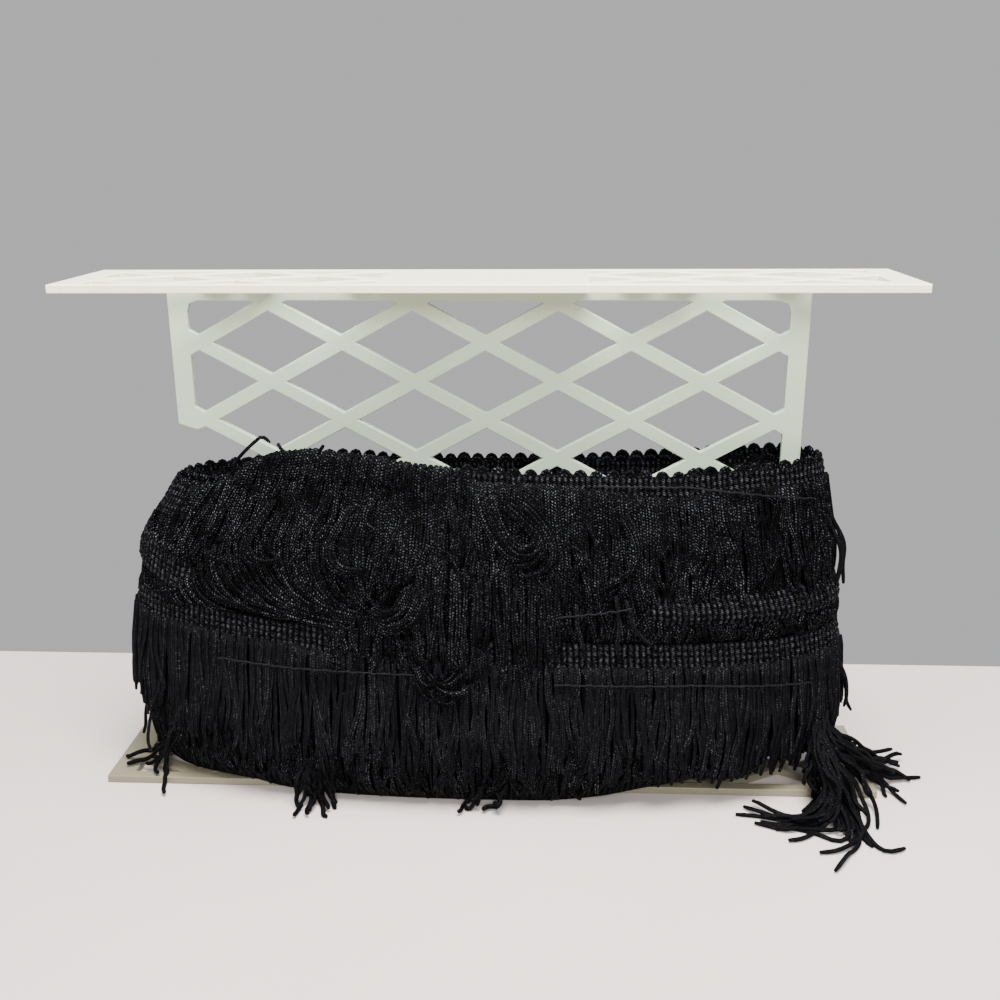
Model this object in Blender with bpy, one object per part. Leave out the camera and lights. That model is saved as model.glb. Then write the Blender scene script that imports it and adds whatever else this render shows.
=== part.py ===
"""Chainette fringe trim wound on a flat lattice reel.

A cream plastic reel stands on its long lower flange. A lattice web carries an equal
upper flange, and black fringe trim is wound round the web in overlapping turns.
Metres, +Z up, +X along the flanges, origin on the floor under the middle of the web.
"""

import math

import bmesh
import bpy
import numpy as np
from mathutils import Vector

# Driving sizes of the reel.
FLANGE_LENGTH = 0.356
FLANGE_WIDTH = 0.0615
FLANGE_THICKNESS = 0.0035
REEL_HEIGHT = 0.231
WEB_WIDTH = 0.2768
WEB_THICKNESS = 0.003
FIT_GAP = 0.0003

# The lattice of web and flanges is one grid of half diamonds.
COLUMN_PITCH = 0.0315
ROW_PITCH = 0.01725
HOLE_HALF_LENGTH = 0.0251
HOLE_HALF_HEIGHT = 0.01375
SMALLEST_HOLE = 0.00006

# The web's lattice hangs from its top row of crossings, inside two posts and two rails.
WEB_COLUMNS = 9
WEB_ROWS = 13
WEB_TOP_ROW = 0.220
POST_WIDTH = 0.0084
RAIL_HEIGHT = 0.0067
CORNER_RADIUS = 0.005
BROKEN_ROW = 4
BREAK_DROP = 0.0028

# Each flange has a solid middle, and its lattice is turned half round from end to end.
MIDDLE_HALF_LENGTH = 0.0422
FLANGE_COLUMNS = 5
FLANGE_ROWS = 4
END_RAIL = 0.012
SIDE_RAIL = 0.005
MIDDLE_RAIL = 0.0021

# The winding is a blunt oval in plan, and its sections widen towards the foot.
PLAN_POWER = 2.3
PLAN_LENGTH = 0.160
PLAN_DEPTH = 0.043
ROUND_SAMPLES = 1441
FRONT_TO_BACK = 1.5
WOUND_STATIONS = 84
SECTIONS = (
    # height, reach to the left, reach to the right, half depth
    (0.001, 0.1500, 0.1400, 0.0405),
    (0.006, 0.1570, 0.1480, 0.0440),
    (0.015, 0.1610, 0.1550, 0.0450),
    (0.035, 0.1630, 0.1595, 0.0440),
    (0.065, 0.1635, 0.1595, 0.0430),
    (0.080, 0.1620, 0.1570, 0.0420),
    (0.095, 0.1600, 0.1530, 0.0410),
    (0.115, 0.1550, 0.1520, 0.0390),
    (0.130, 0.1465, 0.1490, 0.0360),
    (0.145, 0.1370, 0.1465, 0.0330),
    (0.160, 0.1290, 0.1440, 0.0310),
)
TOP_EDGE = (
    # place along the reel, height of the top turn in front, and behind
    (-0.140, 0.146, 0.145),
    (-0.125, 0.152, 0.145),
    (-0.108, 0.159, 0.145),
    (-0.090, 0.161, 0.144),
    (-0.056, 0.159, 0.142),
    (-0.034, 0.156, 0.141),
    (0.008, 0.153, 0.141),
    (0.049, 0.152, 0.142),
    (0.091, 0.151, 0.145),
    (0.117, 0.153, 0.148),
    (0.143, 0.153, 0.152),
)
FOOT_EDGE = (
    # place along the reel, height of the winding's lower edge
    (-0.165, 0.0070),
    (-0.110, 0.0050),
    (-0.088, 0.0015),
    (0.034, 0.0015),
    (0.052, 0.0040),
    (0.074, 0.0090),
    (0.096, 0.0120),
    (0.114, 0.0160),
    (0.131, 0.0220),
    (0.160, 0.0320),
)
LOW_EDGE = (
    # place along the reel, height of the lower turn in front, and behind
    (-0.160, 0.094, 0.094),
    (-0.126, 0.091, 0.090),
    (-0.080, 0.087, 0.086),
    (-0.035, 0.082, 0.084),
    (0.050, 0.080, 0.082),
    (0.127, 0.078, 0.079),
    (0.155, 0.079, 0.079),
)
LOW_TIPS = (
    # place along the reel, height of the lower turn's strand ends
    (-0.160, 0.031),
    (-0.133, 0.020),
    (-0.108, 0.015),
    (0.007, 0.015),
    (0.097, 0.013),
    (0.124, 0.017),
    (0.143, 0.023),
    (0.158, 0.034),
)

# Rings of the winding: underside from the slot outwards, the side from foot to rim, top inwards.
UNDERSIDE_SHARES = (0.0, 0.25, 0.5, 0.79)
LOWER_SIDE_SHARES = (0.0, 0.07, 0.17, 0.35, 0.58, 0.80, 1.0)
ROLL_SHARES = (0.25, 0.5, 0.75, 1.0)
UPPER_SIDE_SHARES = (0.40, 0.75, 1.0)
TOP_TURNS = (
    # share of the way from slot to rim, depth under the rim
    (0.93, 0.0000),
    (0.87, 0.0040),
    (0.76, 0.0020),
    (0.63, 0.0065),
    (0.52, 0.0045),
    (0.38, 0.0090),
    (0.22, 0.0075),
    (0.0, 0.0110),
)
ROLL_HEIGHT = 0.021
ROLL_DEPTH = 0.0032
ROLL_START = 0.030
ROLL_FULL = 0.070
RIM_DROP = 0.003
SLOT_HALF_WIDTH = 0.00195
SLOT_HALF_LENGTH = 0.1392
SLOT_TOP_LEFT = 0.1285
SLOT_END_BLUNTNESS = 1.02
SLOT_SIDE_BLUNTNESS = 6.0
SLOT_STEP_HEIGHT = 0.1378
FULL_DROP_FROM = -0.128
FULL_DROP_TO = -0.100
LEFT_DROP_SHARE = 0.25
REST_HEIGHT = 0.0040
EDGE_CLEARANCE = 0.0065
CLEAR_FROM = 0.0260
CLEAR_TO = 0.0345

# The fringe bands: a woven heading with its locks of cord under it.
HEADING_HEIGHT = 0.014
HEADING_THICKNESS = 0.002
BAND_GAP = 0.0009
LOCK_SHARE = 0.66
TOP_LOCKS = 90
LOW_LOCKS = 98
TOP_LOCK_LENGTH = 0.044
LENGTH_SPREAD = 0.0025
TIP_FLARE = 0.0032
MIDDLE_FLARE = 0.0018
LOCK_TAPER = 0.06
SWAY = 0.0007
SWAY_WAVES = 18.5
SWEEP = 0.011
SWEEP_PLACE = -0.055
SWEEP_WIDTH = 0.045

# Loose strands lie level on the floor or on the flange.
STRAND = 0.0022
FLOOR_HEIGHT = 0.0013
LANDING_SHARE = 0.55
LANDING_RISE = 0.25
NEARNESS = 200
FLANGE_LIE = FLANGE_THICKNESS + 0.0032
TAIL_PATH = (
    # middle of the trim's loose end as it falls to the floor
    (0.1509, -0.0290, 0.0345),
    (0.1600, -0.0310, 0.022),
    (0.1640, -0.0350, 0.013),
    (0.1655, -0.0440, 0.0065),
)
TAIL_WIDTH = 0.010
TAIL_THICKNESS = 0.003
TAIL_SEGMENTS = 20
TAIL_RIGHT = (
    # x, y and z of each strand's knee, then x and y of its tip on the floor
    (0.1780, -0.0060, 0.0160, 0.2030, 0.0060),
    (0.1790, -0.0105, 0.0140, 0.2050, -0.0050),
    (0.1800, -0.0150, 0.0120, 0.2060, -0.0125),
    (0.1810, -0.0195, 0.0110, 0.1960, -0.0190),
    (0.1820, -0.0245, 0.0100, 0.1950, -0.0310),
    (0.1830, -0.0295, 0.0090, 0.1920, -0.0370),
    (0.1800, -0.0345, 0.0080, 0.1800, -0.0470),
    (0.1770, -0.0390, 0.0065, 0.1740, -0.0540),
    (0.1740, -0.0440, 0.0050, 0.1805, -0.0650),
    (0.1715, -0.0490, 0.0035, 0.1780, -0.0710),
)
TAIL_LEFT = (
    # x, y and z of each strand's knee, then x and y of its tip on the floor
    (0.1420, -0.0370, 0.0240, 0.1300, -0.0400),
    (0.1430, -0.0390, 0.0200, 0.1165, -0.0430),
    (0.1440, -0.0415, 0.0165, 0.1180, -0.0485),
    (0.1450, -0.0440, 0.0135, 0.1260, -0.0530),
    (0.1465, -0.0465, 0.0110, 0.1335, -0.0575),
    (0.1480, -0.0490, 0.0090, 0.1350, -0.0635),
    (0.1500, -0.0520, 0.0070, 0.1420, -0.0700),
    (0.1525, -0.0550, 0.0055, 0.1440, -0.0800),
    (0.1550, -0.0580, 0.0040, 0.1480, -0.0860),
    (0.1580, -0.0600, 0.0030, 0.1570, -0.0800),
)
TAIL_END = (0.1640, -0.0560, 0.0030, 0.1680, -0.0760)
LEFT_TUFT_PATH = (
    (-0.1470, -0.0335, 0.030),
    (-0.1500, -0.0345, 0.018),
)
LEFT_TUFT = (
    # x, y and z of each strand's knee, then x, y and z of its tip
    (-0.1600, -0.0300, 0.0130, -0.1730, -0.0165, FLANGE_LIE),
    (-0.1580, -0.0345, 0.0110, -0.1700, -0.0250, FLANGE_LIE),
    (-0.1550, -0.0380, 0.0100, -0.1560, -0.0450, FLOOR_HEIGHT),
    (-0.1500, -0.0400, 0.0080, -0.1480, -0.0440, FLOOR_HEIGHT),
)
FRONT_TUFT_PATH = (
    (-0.0840, -0.0500, 0.015),
    (-0.0700, -0.0515, 0.015),
)
FRONT_TUFT = (
    # x, y and z of each strand's knee, then x, y and z of its tip
    (-0.0845, -0.0520, 0.0070, -0.0870, -0.0560, FLOOR_HEIGHT),
    (-0.0805, -0.0530, 0.0070, -0.0820, -0.0590, FLOOR_HEIGHT),
    (-0.0765, -0.0535, 0.0070, -0.0760, -0.0610, FLOOR_HEIGHT),
    (-0.0725, -0.0535, 0.0070, -0.0690, -0.0585, FLOOR_HEIGHT),
)
TUFT_WIDTH = 0.006
TUFT_THICKNESS = 0.0025

PLASTIC = ("reel plastic", (0.78, 0.80, 0.66, 1.0), 0.38)
YARN = ("black rayon", (0.012, 0.012, 0.015, 1.0), 0.55)

rng = np.random.default_rng(7)


def fresh_collection(name):
    """Clear the scene and return a new collection for the parts."""
    for old in list(bpy.data.objects):
        bpy.data.objects.remove(old, do_unlink=True)
    collection = bpy.data.collections.new(name)
    bpy.context.scene.collection.children.link(collection)
    return collection


PARTS = fresh_collection("Chainette Fringe Trim")


def finish(piece, kind):
    """Give a piece its own Principled material."""
    name, colour, roughness = kind
    material = bpy.data.materials.new(f"{piece.name} {name}")
    material.use_nodes = True
    shader = material.node_tree.nodes["Principled BSDF"]
    shader.inputs["Base Color"].default_value = colour
    shader.inputs["Roughness"].default_value = roughness
    shader.inputs["Metallic"].default_value = 0.0
    piece.data.materials.append(material)


def smoothed(share):
    """Ease from 0 to 1 with level ends."""
    share = min(max(share, 0.0), 1.0)
    return share * share * (3 - 2 * share)


# Reel: lattice panels drawn as flat outlines with holes.


def cut_at(outline, axis, limit, side):
    """Keep the part of a convex outline on one side of a straight line."""
    kept = []
    for start, end in zip(outline, outline[1:] + outline[:1]):
        start_inside = side * (start[axis] - limit) >= 0
        end_inside = side * (end[axis] - limit) >= 0
        if start_inside:
            kept.append(start)
        if start_inside != end_inside:
            share = (limit - start[axis]) / (end[axis] - start[axis])
            kept.append(tuple(a + share * (b - a) for a, b in zip(start, end)))
    return kept


def area_of(outline):
    """Area of a flat outline."""
    pairs = zip(outline, outline[1:] + outline[:1])
    return abs(sum(a[0] * b[1] - b[0] * a[1] for a, b in pairs)) / 2


def diamond(column_place, row_place):
    """The four corners of one lattice hole."""
    return [
        (column_place - HOLE_HALF_LENGTH, row_place),
        (column_place, row_place - HOLE_HALF_HEIGHT),
        (column_place + HOLE_HALF_LENGTH, row_place),
        (column_place, row_place + HOLE_HALF_HEIGHT),
    ]


def trimmed(outline, window):
    """Cut a hole to a window given as left, right, bottom and top."""
    left, right, bottom, top = window
    for axis, limit, side in ((0, left, 1), (0, right, -1), (1, bottom, 1), (1, top, -1)):
        outline = cut_at(outline, axis, limit, side)
    return outline


def rounded_corner(outline, corner):
    """Round one corner of a hole with a short arc."""
    rounded = []
    for number, point in enumerate(outline):
        if math.dist(point, corner) > CORNER_RADIUS / 2:
            rounded.append(point)
            continue
        before = Vector(outline[number - 1]) - Vector(point)
        after = Vector(outline[(number + 1) % len(outline)]) - Vector(point)
        start = Vector(point) + before.normalized() * CORNER_RADIUS
        end = Vector(point) + after.normalized() * CORNER_RADIUS
        middle = (start + end) / 4 + Vector(point) / 2
        rounded += [tuple(start), tuple(middle), tuple(end)]
    return rounded


def web_holes():
    """Every hole of the web, but for the bay where its left post is broken away."""
    inner = WEB_WIDTH / 2 - POST_WIDTH
    top = REEL_HEIGHT - FLANGE_THICKNESS - RAIL_HEIGHT
    bottom = FLANGE_THICKNESS + RAIL_HEIGHT
    first_column = -COLUMN_PITCH * (WEB_COLUMNS - 1) / 2
    holes = []
    for column in range(WEB_COLUMNS):
        for row in range(WEB_ROWS):
            if (column + row) % 2 or (column == 0 and row == BROKEN_ROW):
                continue
            whole = diamond(first_column + column * COLUMN_PITCH, WEB_TOP_ROW - row * ROW_PITCH)
            hole = trimmed(whole, (-inner, inner, bottom, top))
            for side in (-1, 1):
                hole = rounded_corner(hole, (side * inner, top))
            holes.append(hole)
    return [hole for hole in holes if area_of(hole) > SMALLEST_HOLE]


def web_outline():
    """The web's outer outline, open where the left post is broken."""
    half = WEB_WIDTH / 2
    bottom = FLANGE_THICKNESS + FIT_GAP
    top = REEL_HEIGHT - FLANGE_THICKNESS - FIT_GAP
    bay = diamond(-COLUMN_PITCH * (WEB_COLUMNS - 1) / 2, WEB_TOP_ROW - BROKEN_ROW * ROW_PITCH)
    bay_bottom, bay_right, bay_top = bay[1], bay[2], bay[3]
    return [
        (half, bottom),
        (half, top),
        (-half, top),
        (-half, bay_top[1] + BREAK_DROP / 2),
        (-half + POST_WIDTH, bay_top[1] - BREAK_DROP / 2),
        bay_top,
        bay_right,
        bay_bottom,
        (-half + POST_WIDTH, bay_bottom[1] - BREAK_DROP / 3),
        (-half, bay_bottom[1] - BREAK_DROP),
        (-half, bottom),
    ]


def flange_holes():
    """Holes of one flange: one end's lattice, and the same turned half round for the other."""
    window = (
        MIDDLE_HALF_LENGTH + MIDDLE_RAIL,
        FLANGE_LENGTH / 2 - END_RAIL,
        -FLANGE_WIDTH / 2 + SIDE_RAIL,
        FLANGE_WIDTH / 2 - SIDE_RAIL,
    )
    first_row = -ROW_PITCH * (FLANGE_ROWS - 1) / 2
    right_end = []
    for column in range(FLANGE_COLUMNS):
        for row in range(FLANGE_ROWS):
            if (column + row) % 2:
                whole = diamond(MIDDLE_HALF_LENGTH + column * COLUMN_PITCH, first_row + row * ROW_PITCH)
                right_end.append(trimmed(whole, window))
    right_end = [hole for hole in right_end if area_of(hole) > SMALLEST_HOLE]
    left_end = [[(-x, -y) for x, y in hole] for hole in right_end]
    return right_end + left_end


def flange_outline():
    """A plain rectangle."""
    length, width = FLANGE_LENGTH / 2, FLANGE_WIDTH / 2
    return [(-length, -width), (length, -width), (length, width), (-length, width)]


def panel(name, outline, holes, thickness):
    """A flat plastic panel with holes, drawn in its own XY plane."""
    curve = bpy.data.curves.new(name, "CURVE")
    curve.dimensions = "2D"
    curve.fill_mode = "BOTH"
    curve.extrude = thickness / 2
    for ring in [outline] + holes:
        spline = curve.splines.new("POLY")
        spline.points.add(len(ring) - 1)
        for point, (x, y) in zip(spline.points, ring):
            point.co = (x, y, 0, 1)
        spline.use_cyclic_u = True
    piece = bpy.data.objects.new(name, curve)
    PARTS.objects.link(piece)
    finish(piece, PLASTIC)
    return piece


def build_reel():
    """Two flanges with the web standing between them."""
    web = panel("reel_web", web_outline(), web_holes(), WEB_THICKNESS)
    web.rotation_euler = (math.pi / 2, 0, 0)
    bottom = panel("bottom_flange", flange_outline(), flange_holes(), FLANGE_THICKNESS)
    bottom.location.z = FLANGE_THICKNESS / 2
    top = panel("top_flange", flange_outline(), flange_holes(), FLANGE_THICKNESS)
    top.location.z = REEL_HEIGHT - FLANGE_THICKNESS / 2


# Winding: every ring of it is the same blunt oval, so places round it are shares of its length.


def blunt(value):
    """A cosine or sine made blunter for the oval."""
    return math.copysign(abs(value) ** (2 / PLAN_POWER), value)


def round_angles():
    """Angles and the share of the oval's length at which each lies."""
    angles = np.linspace(0, 2 * math.pi, ROUND_SAMPLES)
    x = np.array([PLAN_LENGTH * blunt(math.cos(a)) for a in angles])
    y = np.array([PLAN_DEPTH * blunt(math.sin(a)) for a in angles])
    steps = np.hypot(np.diff(x), np.diff(y))
    lengths = np.concatenate([[0], np.cumsum(steps)])
    return angles, lengths / lengths[-1], lengths[-1]


ANGLES, ANGLE_SHARES, PLAN_ROUND = round_angles()


def angle_at(place):
    """The angle at a share of the way round, starting at the right end towards the back."""
    return float(np.interp(place % 1.0, ANGLE_SHARES, ANGLES))


def section(height):
    """Reach left, reach right and half depth of the winding at a height."""
    heights = [row[0] for row in SECTIONS]
    return [float(np.interp(height, heights, [row[column] for row in SECTIONS])) for column in (1, 2, 3)]


def on_winding(place, height, outset):
    """A point this far out from the winding's side."""
    angle = angle_at(place)
    left, right, depth = section(height)
    reach = right if math.cos(angle) > 0 else left
    return Vector(
        ((reach + outset) * blunt(math.cos(angle)), (depth + outset) * blunt(math.sin(angle)), height)
    )


def edge_height(table, place):
    """Height of a turn's edge at a share of the way round, from its front and back columns."""
    angle = angle_at(place)
    x = PLAN_LENGTH * blunt(math.cos(angle))
    places = [row[0] for row in table]
    front = float(np.interp(x, places, [row[1] for row in table]))
    back = float(np.interp(x, places, [row[-1] for row in table]))
    to_back = smoothed(0.5 + FRONT_TO_BACK * math.sin(angle))
    return front + to_back * (back - front)


def slot_point(place, height):
    """The slot that the web stands in, shorter at the top left where the post is broken."""
    angle = angle_at(place)
    left = SLOT_HALF_LENGTH if height <= SLOT_STEP_HEIGHT else SLOT_TOP_LEFT
    reach = SLOT_HALF_LENGTH if math.cos(angle) > 0 else left
    x = reach * min(max(SLOT_END_BLUNTNESS * math.cos(angle), -1), 1)
    y = SLOT_HALF_WIDTH * min(max(SLOT_SIDE_BLUNTNESS * math.sin(angle), -1), 1)
    return Vector((x, y, height))


def underside(point, place, share):
    """Height of the winding's underside: on the flange, and clear of the flange's edge."""
    lift = edge_height(FOOT_EDGE, place)
    height = REST_HEIGHT + share * (lift - REST_HEIGHT)
    if abs(point.y) > CLEAR_TO:
        return height
    return max(height, EDGE_CLEARANCE if abs(point.y) > CLEAR_FROM else REST_HEIGHT)


def roll_depth(place, share):
    """How far the rolled turn stands out at the right, over the lower turn's heading."""
    x = PLAN_LENGTH * blunt(math.cos(angle_at(place)))
    return ROLL_DEPTH * math.sin(math.pi * share) * smoothed((x - ROLL_START) / (ROLL_FULL - ROLL_START))


def side_rings(place, foot, rim):
    """Height and outset of each ring on the side: foot to lower turn, rolled turn, then rim."""
    low = edge_height(LOW_EDGE, place)
    high = low + ROLL_HEIGHT
    rings = [(foot + share * (low - foot), 0.0) for share in LOWER_SIDE_SHARES]
    rings += [(low + share * ROLL_HEIGHT, roll_depth(place, share)) for share in ROLL_SHARES]
    rings += [(high + share * (rim - high), 0.0) for share in UPPER_SIDE_SHARES]
    return rings


def drop_share(x):
    """The turns stay high at the left, where they close over the broken post."""
    eased = smoothed((x - FULL_DROP_FROM) / (FULL_DROP_TO - FULL_DROP_FROM))
    return LEFT_DROP_SHARE + (1 - LEFT_DROP_SHARE) * eased


def winding_ring(place):
    """One section of the winding, from the slot's foot round the outside to the slot's top."""
    rim = edge_height(TOP_EDGE, place) - RIM_DROP
    first_outer = on_winding(place, edge_height(FOOT_EDGE, place), 0)
    foot = underside(first_outer, place, 1)
    points = []
    for share in UNDERSIDE_SHARES:
        point = slot_point(place, REST_HEIGHT).lerp(first_outer, share)
        point.z = underside(point, place, share)
        points.append(point)
    points += [on_winding(place, height, outset) for height, outset in side_rings(place, foot, rim)]
    rim_point = points[-1]
    for share, drop in TOP_TURNS:
        point = slot_point(place, rim).lerp(rim_point, share)
        point.z = rim - drop * drop_share(point.x)
        points.append(point)
    points.append(slot_point(place, SLOT_STEP_HEIGHT))
    points[-1].z = min(SLOT_STEP_HEIGHT, points[-2].z - FIT_GAP)
    return points


def build_winding():
    """The wound trim as one solid, with a slot where the web passes through."""
    rings = [winding_ring(number / WOUND_STATIONS) for number in range(WOUND_STATIONS)]
    around = len(rings[0])
    bpy.ops.mesh.primitive_torus_add(major_segments=WOUND_STATIONS, minor_segments=around)
    piece = bpy.context.object
    adopt(piece, "wound_trim")
    for number, vertex in enumerate(piece.data.vertices):
        vertex.co = rings[number // around][number % around]
    facing_out(piece)
    piece.data.shade_smooth()


def adopt(piece, name):
    """Name a new primitive, file it with the parts and give it its yarn."""
    piece.name = name
    piece.data.name = name
    for collection in list(piece.users_collection):
        collection.objects.unlink(piece)
    PARTS.objects.link(piece)
    finish(piece, YARN)


def facing_out(piece):
    """Turn every face of a closed mesh outwards."""
    mesh = bmesh.new()
    mesh.from_mesh(piece.data)
    bmesh.ops.recalc_face_normals(mesh, faces=mesh.faces)
    mesh.to_mesh(piece.data)
    mesh.free()


# Fringe bands: a closed strip round the winding, with alternate pieces of its lower edge drawn down.


def band_stations(locks):
    """Shares of the way round at which locks and the gaps between them start."""
    return [(lock + share) / locks for lock in range(locks) for share in (0.0, LOCK_SHARE)]


def build_band(name, table, locks, tip_height, sweep):
    """One turn of trim: the heading, then a lock of cords every pitch."""
    stations = band_stations(locks)
    bpy.ops.mesh.primitive_torus_add(major_segments=len(stations), minor_segments=4)
    piece = bpy.context.object
    adopt(piece, name)
    outer = BAND_GAP + HEADING_THICKNESS
    for number, vertex in enumerate(piece.data.vertices):
        place = stations[number // 4]
        top = edge_height(table, place)
        corner = (
            (top - HEADING_HEIGHT, BAND_GAP),
            (top - HEADING_HEIGHT, outer),
            (top, outer),
            (top, BAND_GAP),
        )[number % 4]
        vertex.co = on_winding(place, *corner)
    mesh = bmesh.new()
    mesh.from_mesh(piece.data)
    strip = list(mesh.verts)
    for lock in range(locks):
        corners = [strip[8 * lock + offset] for offset in (0, 1, 5, 4)]
        hang_lock(mesh, corners, lock / locks, table, locks, tip_height, sweep)
    bmesh.ops.recalc_face_normals(mesh, faces=mesh.faces)
    mesh.to_mesh(piece.data)
    mesh.free()


def hang_lock(mesh, corners, place, table, locks, tip_height, sweep):
    """Draw one lock down from the strip in two steps, with its own sway and length."""
    face = next(f for f in corners[0].link_faces if all(v in corners for v in f.verts))
    root = edge_height(table, place) - HEADING_HEIGHT
    tip = tip_height(place, root) + rng.uniform(-LENGTH_SPREAD, LENGTH_SPREAD)
    width = LOCK_SHARE / locks
    sway = SWAY * (math.sin(2 * math.pi * SWAY_WAVES * place) + rng.uniform(-0.5, 0.5))
    old = list(corners)
    for share, flare in ((0.5, MIDDLE_FLARE), (1.0, TIP_FLARE)):
        face = bmesh.ops.extrude_discrete_faces(mesh, faces=[face])["faces"][0]
        height = root + share * (tip - root)
        shift = (share * sway + share * share * sweep(place)) / PLAN_ROUND
        wanted = []
        for side, outset in ((0, 0.0), (0, 1.0), (1, 1.0), (1, 0.0)):
            along = place + shift + width * (LOCK_TAPER + (1 - 2 * LOCK_TAPER) * side)
            wanted.append(on_winding(along, height, BAND_GAP + flare + outset * HEADING_THICKNESS))
        new = [min(face.verts, key=lambda v, o=o: (v.co - o.co).length) for o in old]
        for vertex, point in zip(new, wanted):
            vertex.co = point
        old = new


def top_tips(place, root):
    """Strand ends of the top band, which stop over the lower turn's heading."""
    return max(root - TOP_LOCK_LENGTH, edge_height(LOW_EDGE, place) + LENGTH_SPREAD + BAND_GAP)


def low_tips(place, root):
    """Strand ends of the lower band, which follow the foot of the winding."""
    return edge_height(LOW_TIPS, place)


def swept(place):
    """The top band's strands sweep to the right on the front, left of the middle."""
    angle = angle_at(place)
    if math.sin(angle) > 0:
        return 0.0
    x = PLAN_LENGTH * blunt(math.cos(angle))
    return SWEEP * math.exp(-(((x - SWEEP_PLACE) / SWEEP_WIDTH) ** 2))


def straight(place):
    """Strands that hang straight."""
    return 0.0


# Loose ends: a short bent strip of heading with strands drawn from its sides.


def along_path(path, share):
    """Point and direction at a share of the way along a few points."""
    steps = len(path) - 1
    number = min(int(share * steps), steps - 1)
    start, end = Vector(path[number]), Vector(path[number + 1])
    return start.lerp(end, share * steps - number), (end - start).normalized()


def bent_strip(name, path, width, thickness, segments):
    """A cube subdivided along its length and laid along a path, its width level."""
    bpy.ops.mesh.primitive_cube_add(size=1)
    piece = bpy.context.object
    adopt(piece, name)
    mesh = bmesh.new()
    mesh.from_mesh(piece.data)
    long_edges = [e for e in mesh.edges if abs(e.verts[0].co.x - e.verts[1].co.x) > 0.5]
    bmesh.ops.subdivide_edges(mesh, edges=long_edges, cuts=segments - 1, use_grid_fill=True)
    for vertex in mesh.verts:
        local = vertex.co.copy()
        point, direction = along_path(path, local.x + 0.5)
        side = Vector((0, 0, 1)).cross(direction).normalized()
        up = direction.cross(side)
        vertex.co = point + side * local.y * width + up * local.z * thickness
    return piece, mesh


def side_faces(mesh, path, side_sign, parity, segments):
    """Alternate faces along one side of a bent strip, in order from its start."""
    found = []
    for number in range(parity, segments, 2):
        point, direction = along_path(path, (number + 0.5) / segments)
        side = Vector((0, 0, side_sign)).cross(direction).normalized()

        def suits(face, point=point, side=side):
            return face.normal.dot(side) - NEARNESS * (face.calc_center_median() - point).length

        found.append(max(mesh.faces, key=suits))
    return found


def draw_strand(mesh, face, path):
    """Draw a face out along a path as a strand with a square section."""
    old = list(face.verts)
    before = face.calc_center_median()
    for number, point in enumerate(path):
        after = path[min(number + 1, len(path) - 1)]
        direction = (after - before).normalized()
        side = direction.cross(Vector((0, 0, 1))).normalized()
        up = side.cross(direction)
        half = STRAND / 2
        ring = [point + side * a * half + up * b * half for a, b in ((1, 1), (1, -1), (-1, -1), (-1, 1))]
        orders = [ring[k:] + ring[:k] for k in range(4)]
        face = bmesh.ops.extrude_discrete_faces(mesh, faces=[face])["faces"][0]
        new = [min(face.verts, key=lambda v, o=o: (v.co - o.co).length) for o in old]
        best = min(orders, key=lambda order: sum((v.co - p).length for v, p in zip(new, order)))
        for vertex, place in zip(new, best):
            vertex.co = place
        old = new
        before = point


def finish_strands(piece, mesh):
    """Write the mesh back with its faces outwards."""
    bmesh.ops.recalc_face_normals(mesh, faces=mesh.faces)
    mesh.to_mesh(piece.data)
    mesh.free()


def strand_route(face, knee, tip):
    """A short way straight out of the strip, then over the knee to the tip."""
    centre = face.calc_center_median()
    out = centre + face.normal * STRAND
    knee, tip = Vector(knee), Vector(tip)
    near_tip = knee.lerp(tip, LANDING_SHARE)
    near_tip.z = tip.z + LANDING_RISE * max(knee.z - tip.z, 0)
    return [out, knee, near_tip, tip]


def build_tail():
    """The trim's loose end, which falls from the right end and splays on the floor."""
    piece, mesh = bent_strip("loose_tail", TAIL_PATH, TAIL_WIDTH, TAIL_THICKNESS, TAIL_SEGMENTS)
    mesh.normal_update()
    groups = ((TAIL_LEFT, -1, 0), (TAIL_RIGHT, 1, 1))
    roots = [side_faces(mesh, TAIL_PATH, sign, parity, TAIL_SEGMENTS) for _, sign, parity in groups]
    end_face = min(mesh.faces, key=lambda f: (f.calc_center_median() - Vector(TAIL_PATH[-1])).length)
    for (table, _, _), faces in zip(groups, roots):
        for face, (x, y, z, tip_x, tip_y) in zip(faces, table):
            draw_strand(mesh, face, strand_route(face, (x, y, z), (tip_x, tip_y, FLOOR_HEIGHT)))
    x, y, z, tip_x, tip_y = TAIL_END
    draw_strand(mesh, end_face, strand_route(end_face, (x, y, z), (tip_x, tip_y, FLOOR_HEIGHT)))
    finish_strands(piece, mesh)


def build_tuft(name, path, table, sign):
    """A few strands that hang together from a short strip."""
    segments = 2 * len(table)
    piece, mesh = bent_strip(name, path, TUFT_WIDTH, TUFT_THICKNESS, segments)
    mesh.normal_update()
    faces = side_faces(mesh, path, sign, 0, segments)
    for face, (x, y, z, tip_x, tip_y, tip_z) in zip(faces, table):
        draw_strand(mesh, face, strand_route(face, (x, y, z), (tip_x, tip_y, tip_z)))
    finish_strands(piece, mesh)


def main():
    build_reel()
    build_winding()
    build_band("fringe_band_top", TOP_EDGE, TOP_LOCKS, top_tips, swept)
    build_band("fringe_band_low", LOW_EDGE, LOW_LOCKS, low_tips, straight)
    build_tail()
    build_tuft("left_tuft", LEFT_TUFT_PATH, LEFT_TUFT, -1)
    build_tuft("front_tuft", FRONT_TUFT_PATH, FRONT_TUFT, -1)


main()
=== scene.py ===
# %% [markdown]
# # Black chainette fringe trim on a lattice reel
#
# A cream plastic reel stands on its lower flange. About twenty metres of fringe trim are
# wound round its web, and the loose end of the trim lies splayed on the floor. The packed
# model gives every size and place, so it is loaded first and each new piece is laid on it.

import math

import bpy
import numpy as np
from mathutils import Matrix, Vector


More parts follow.
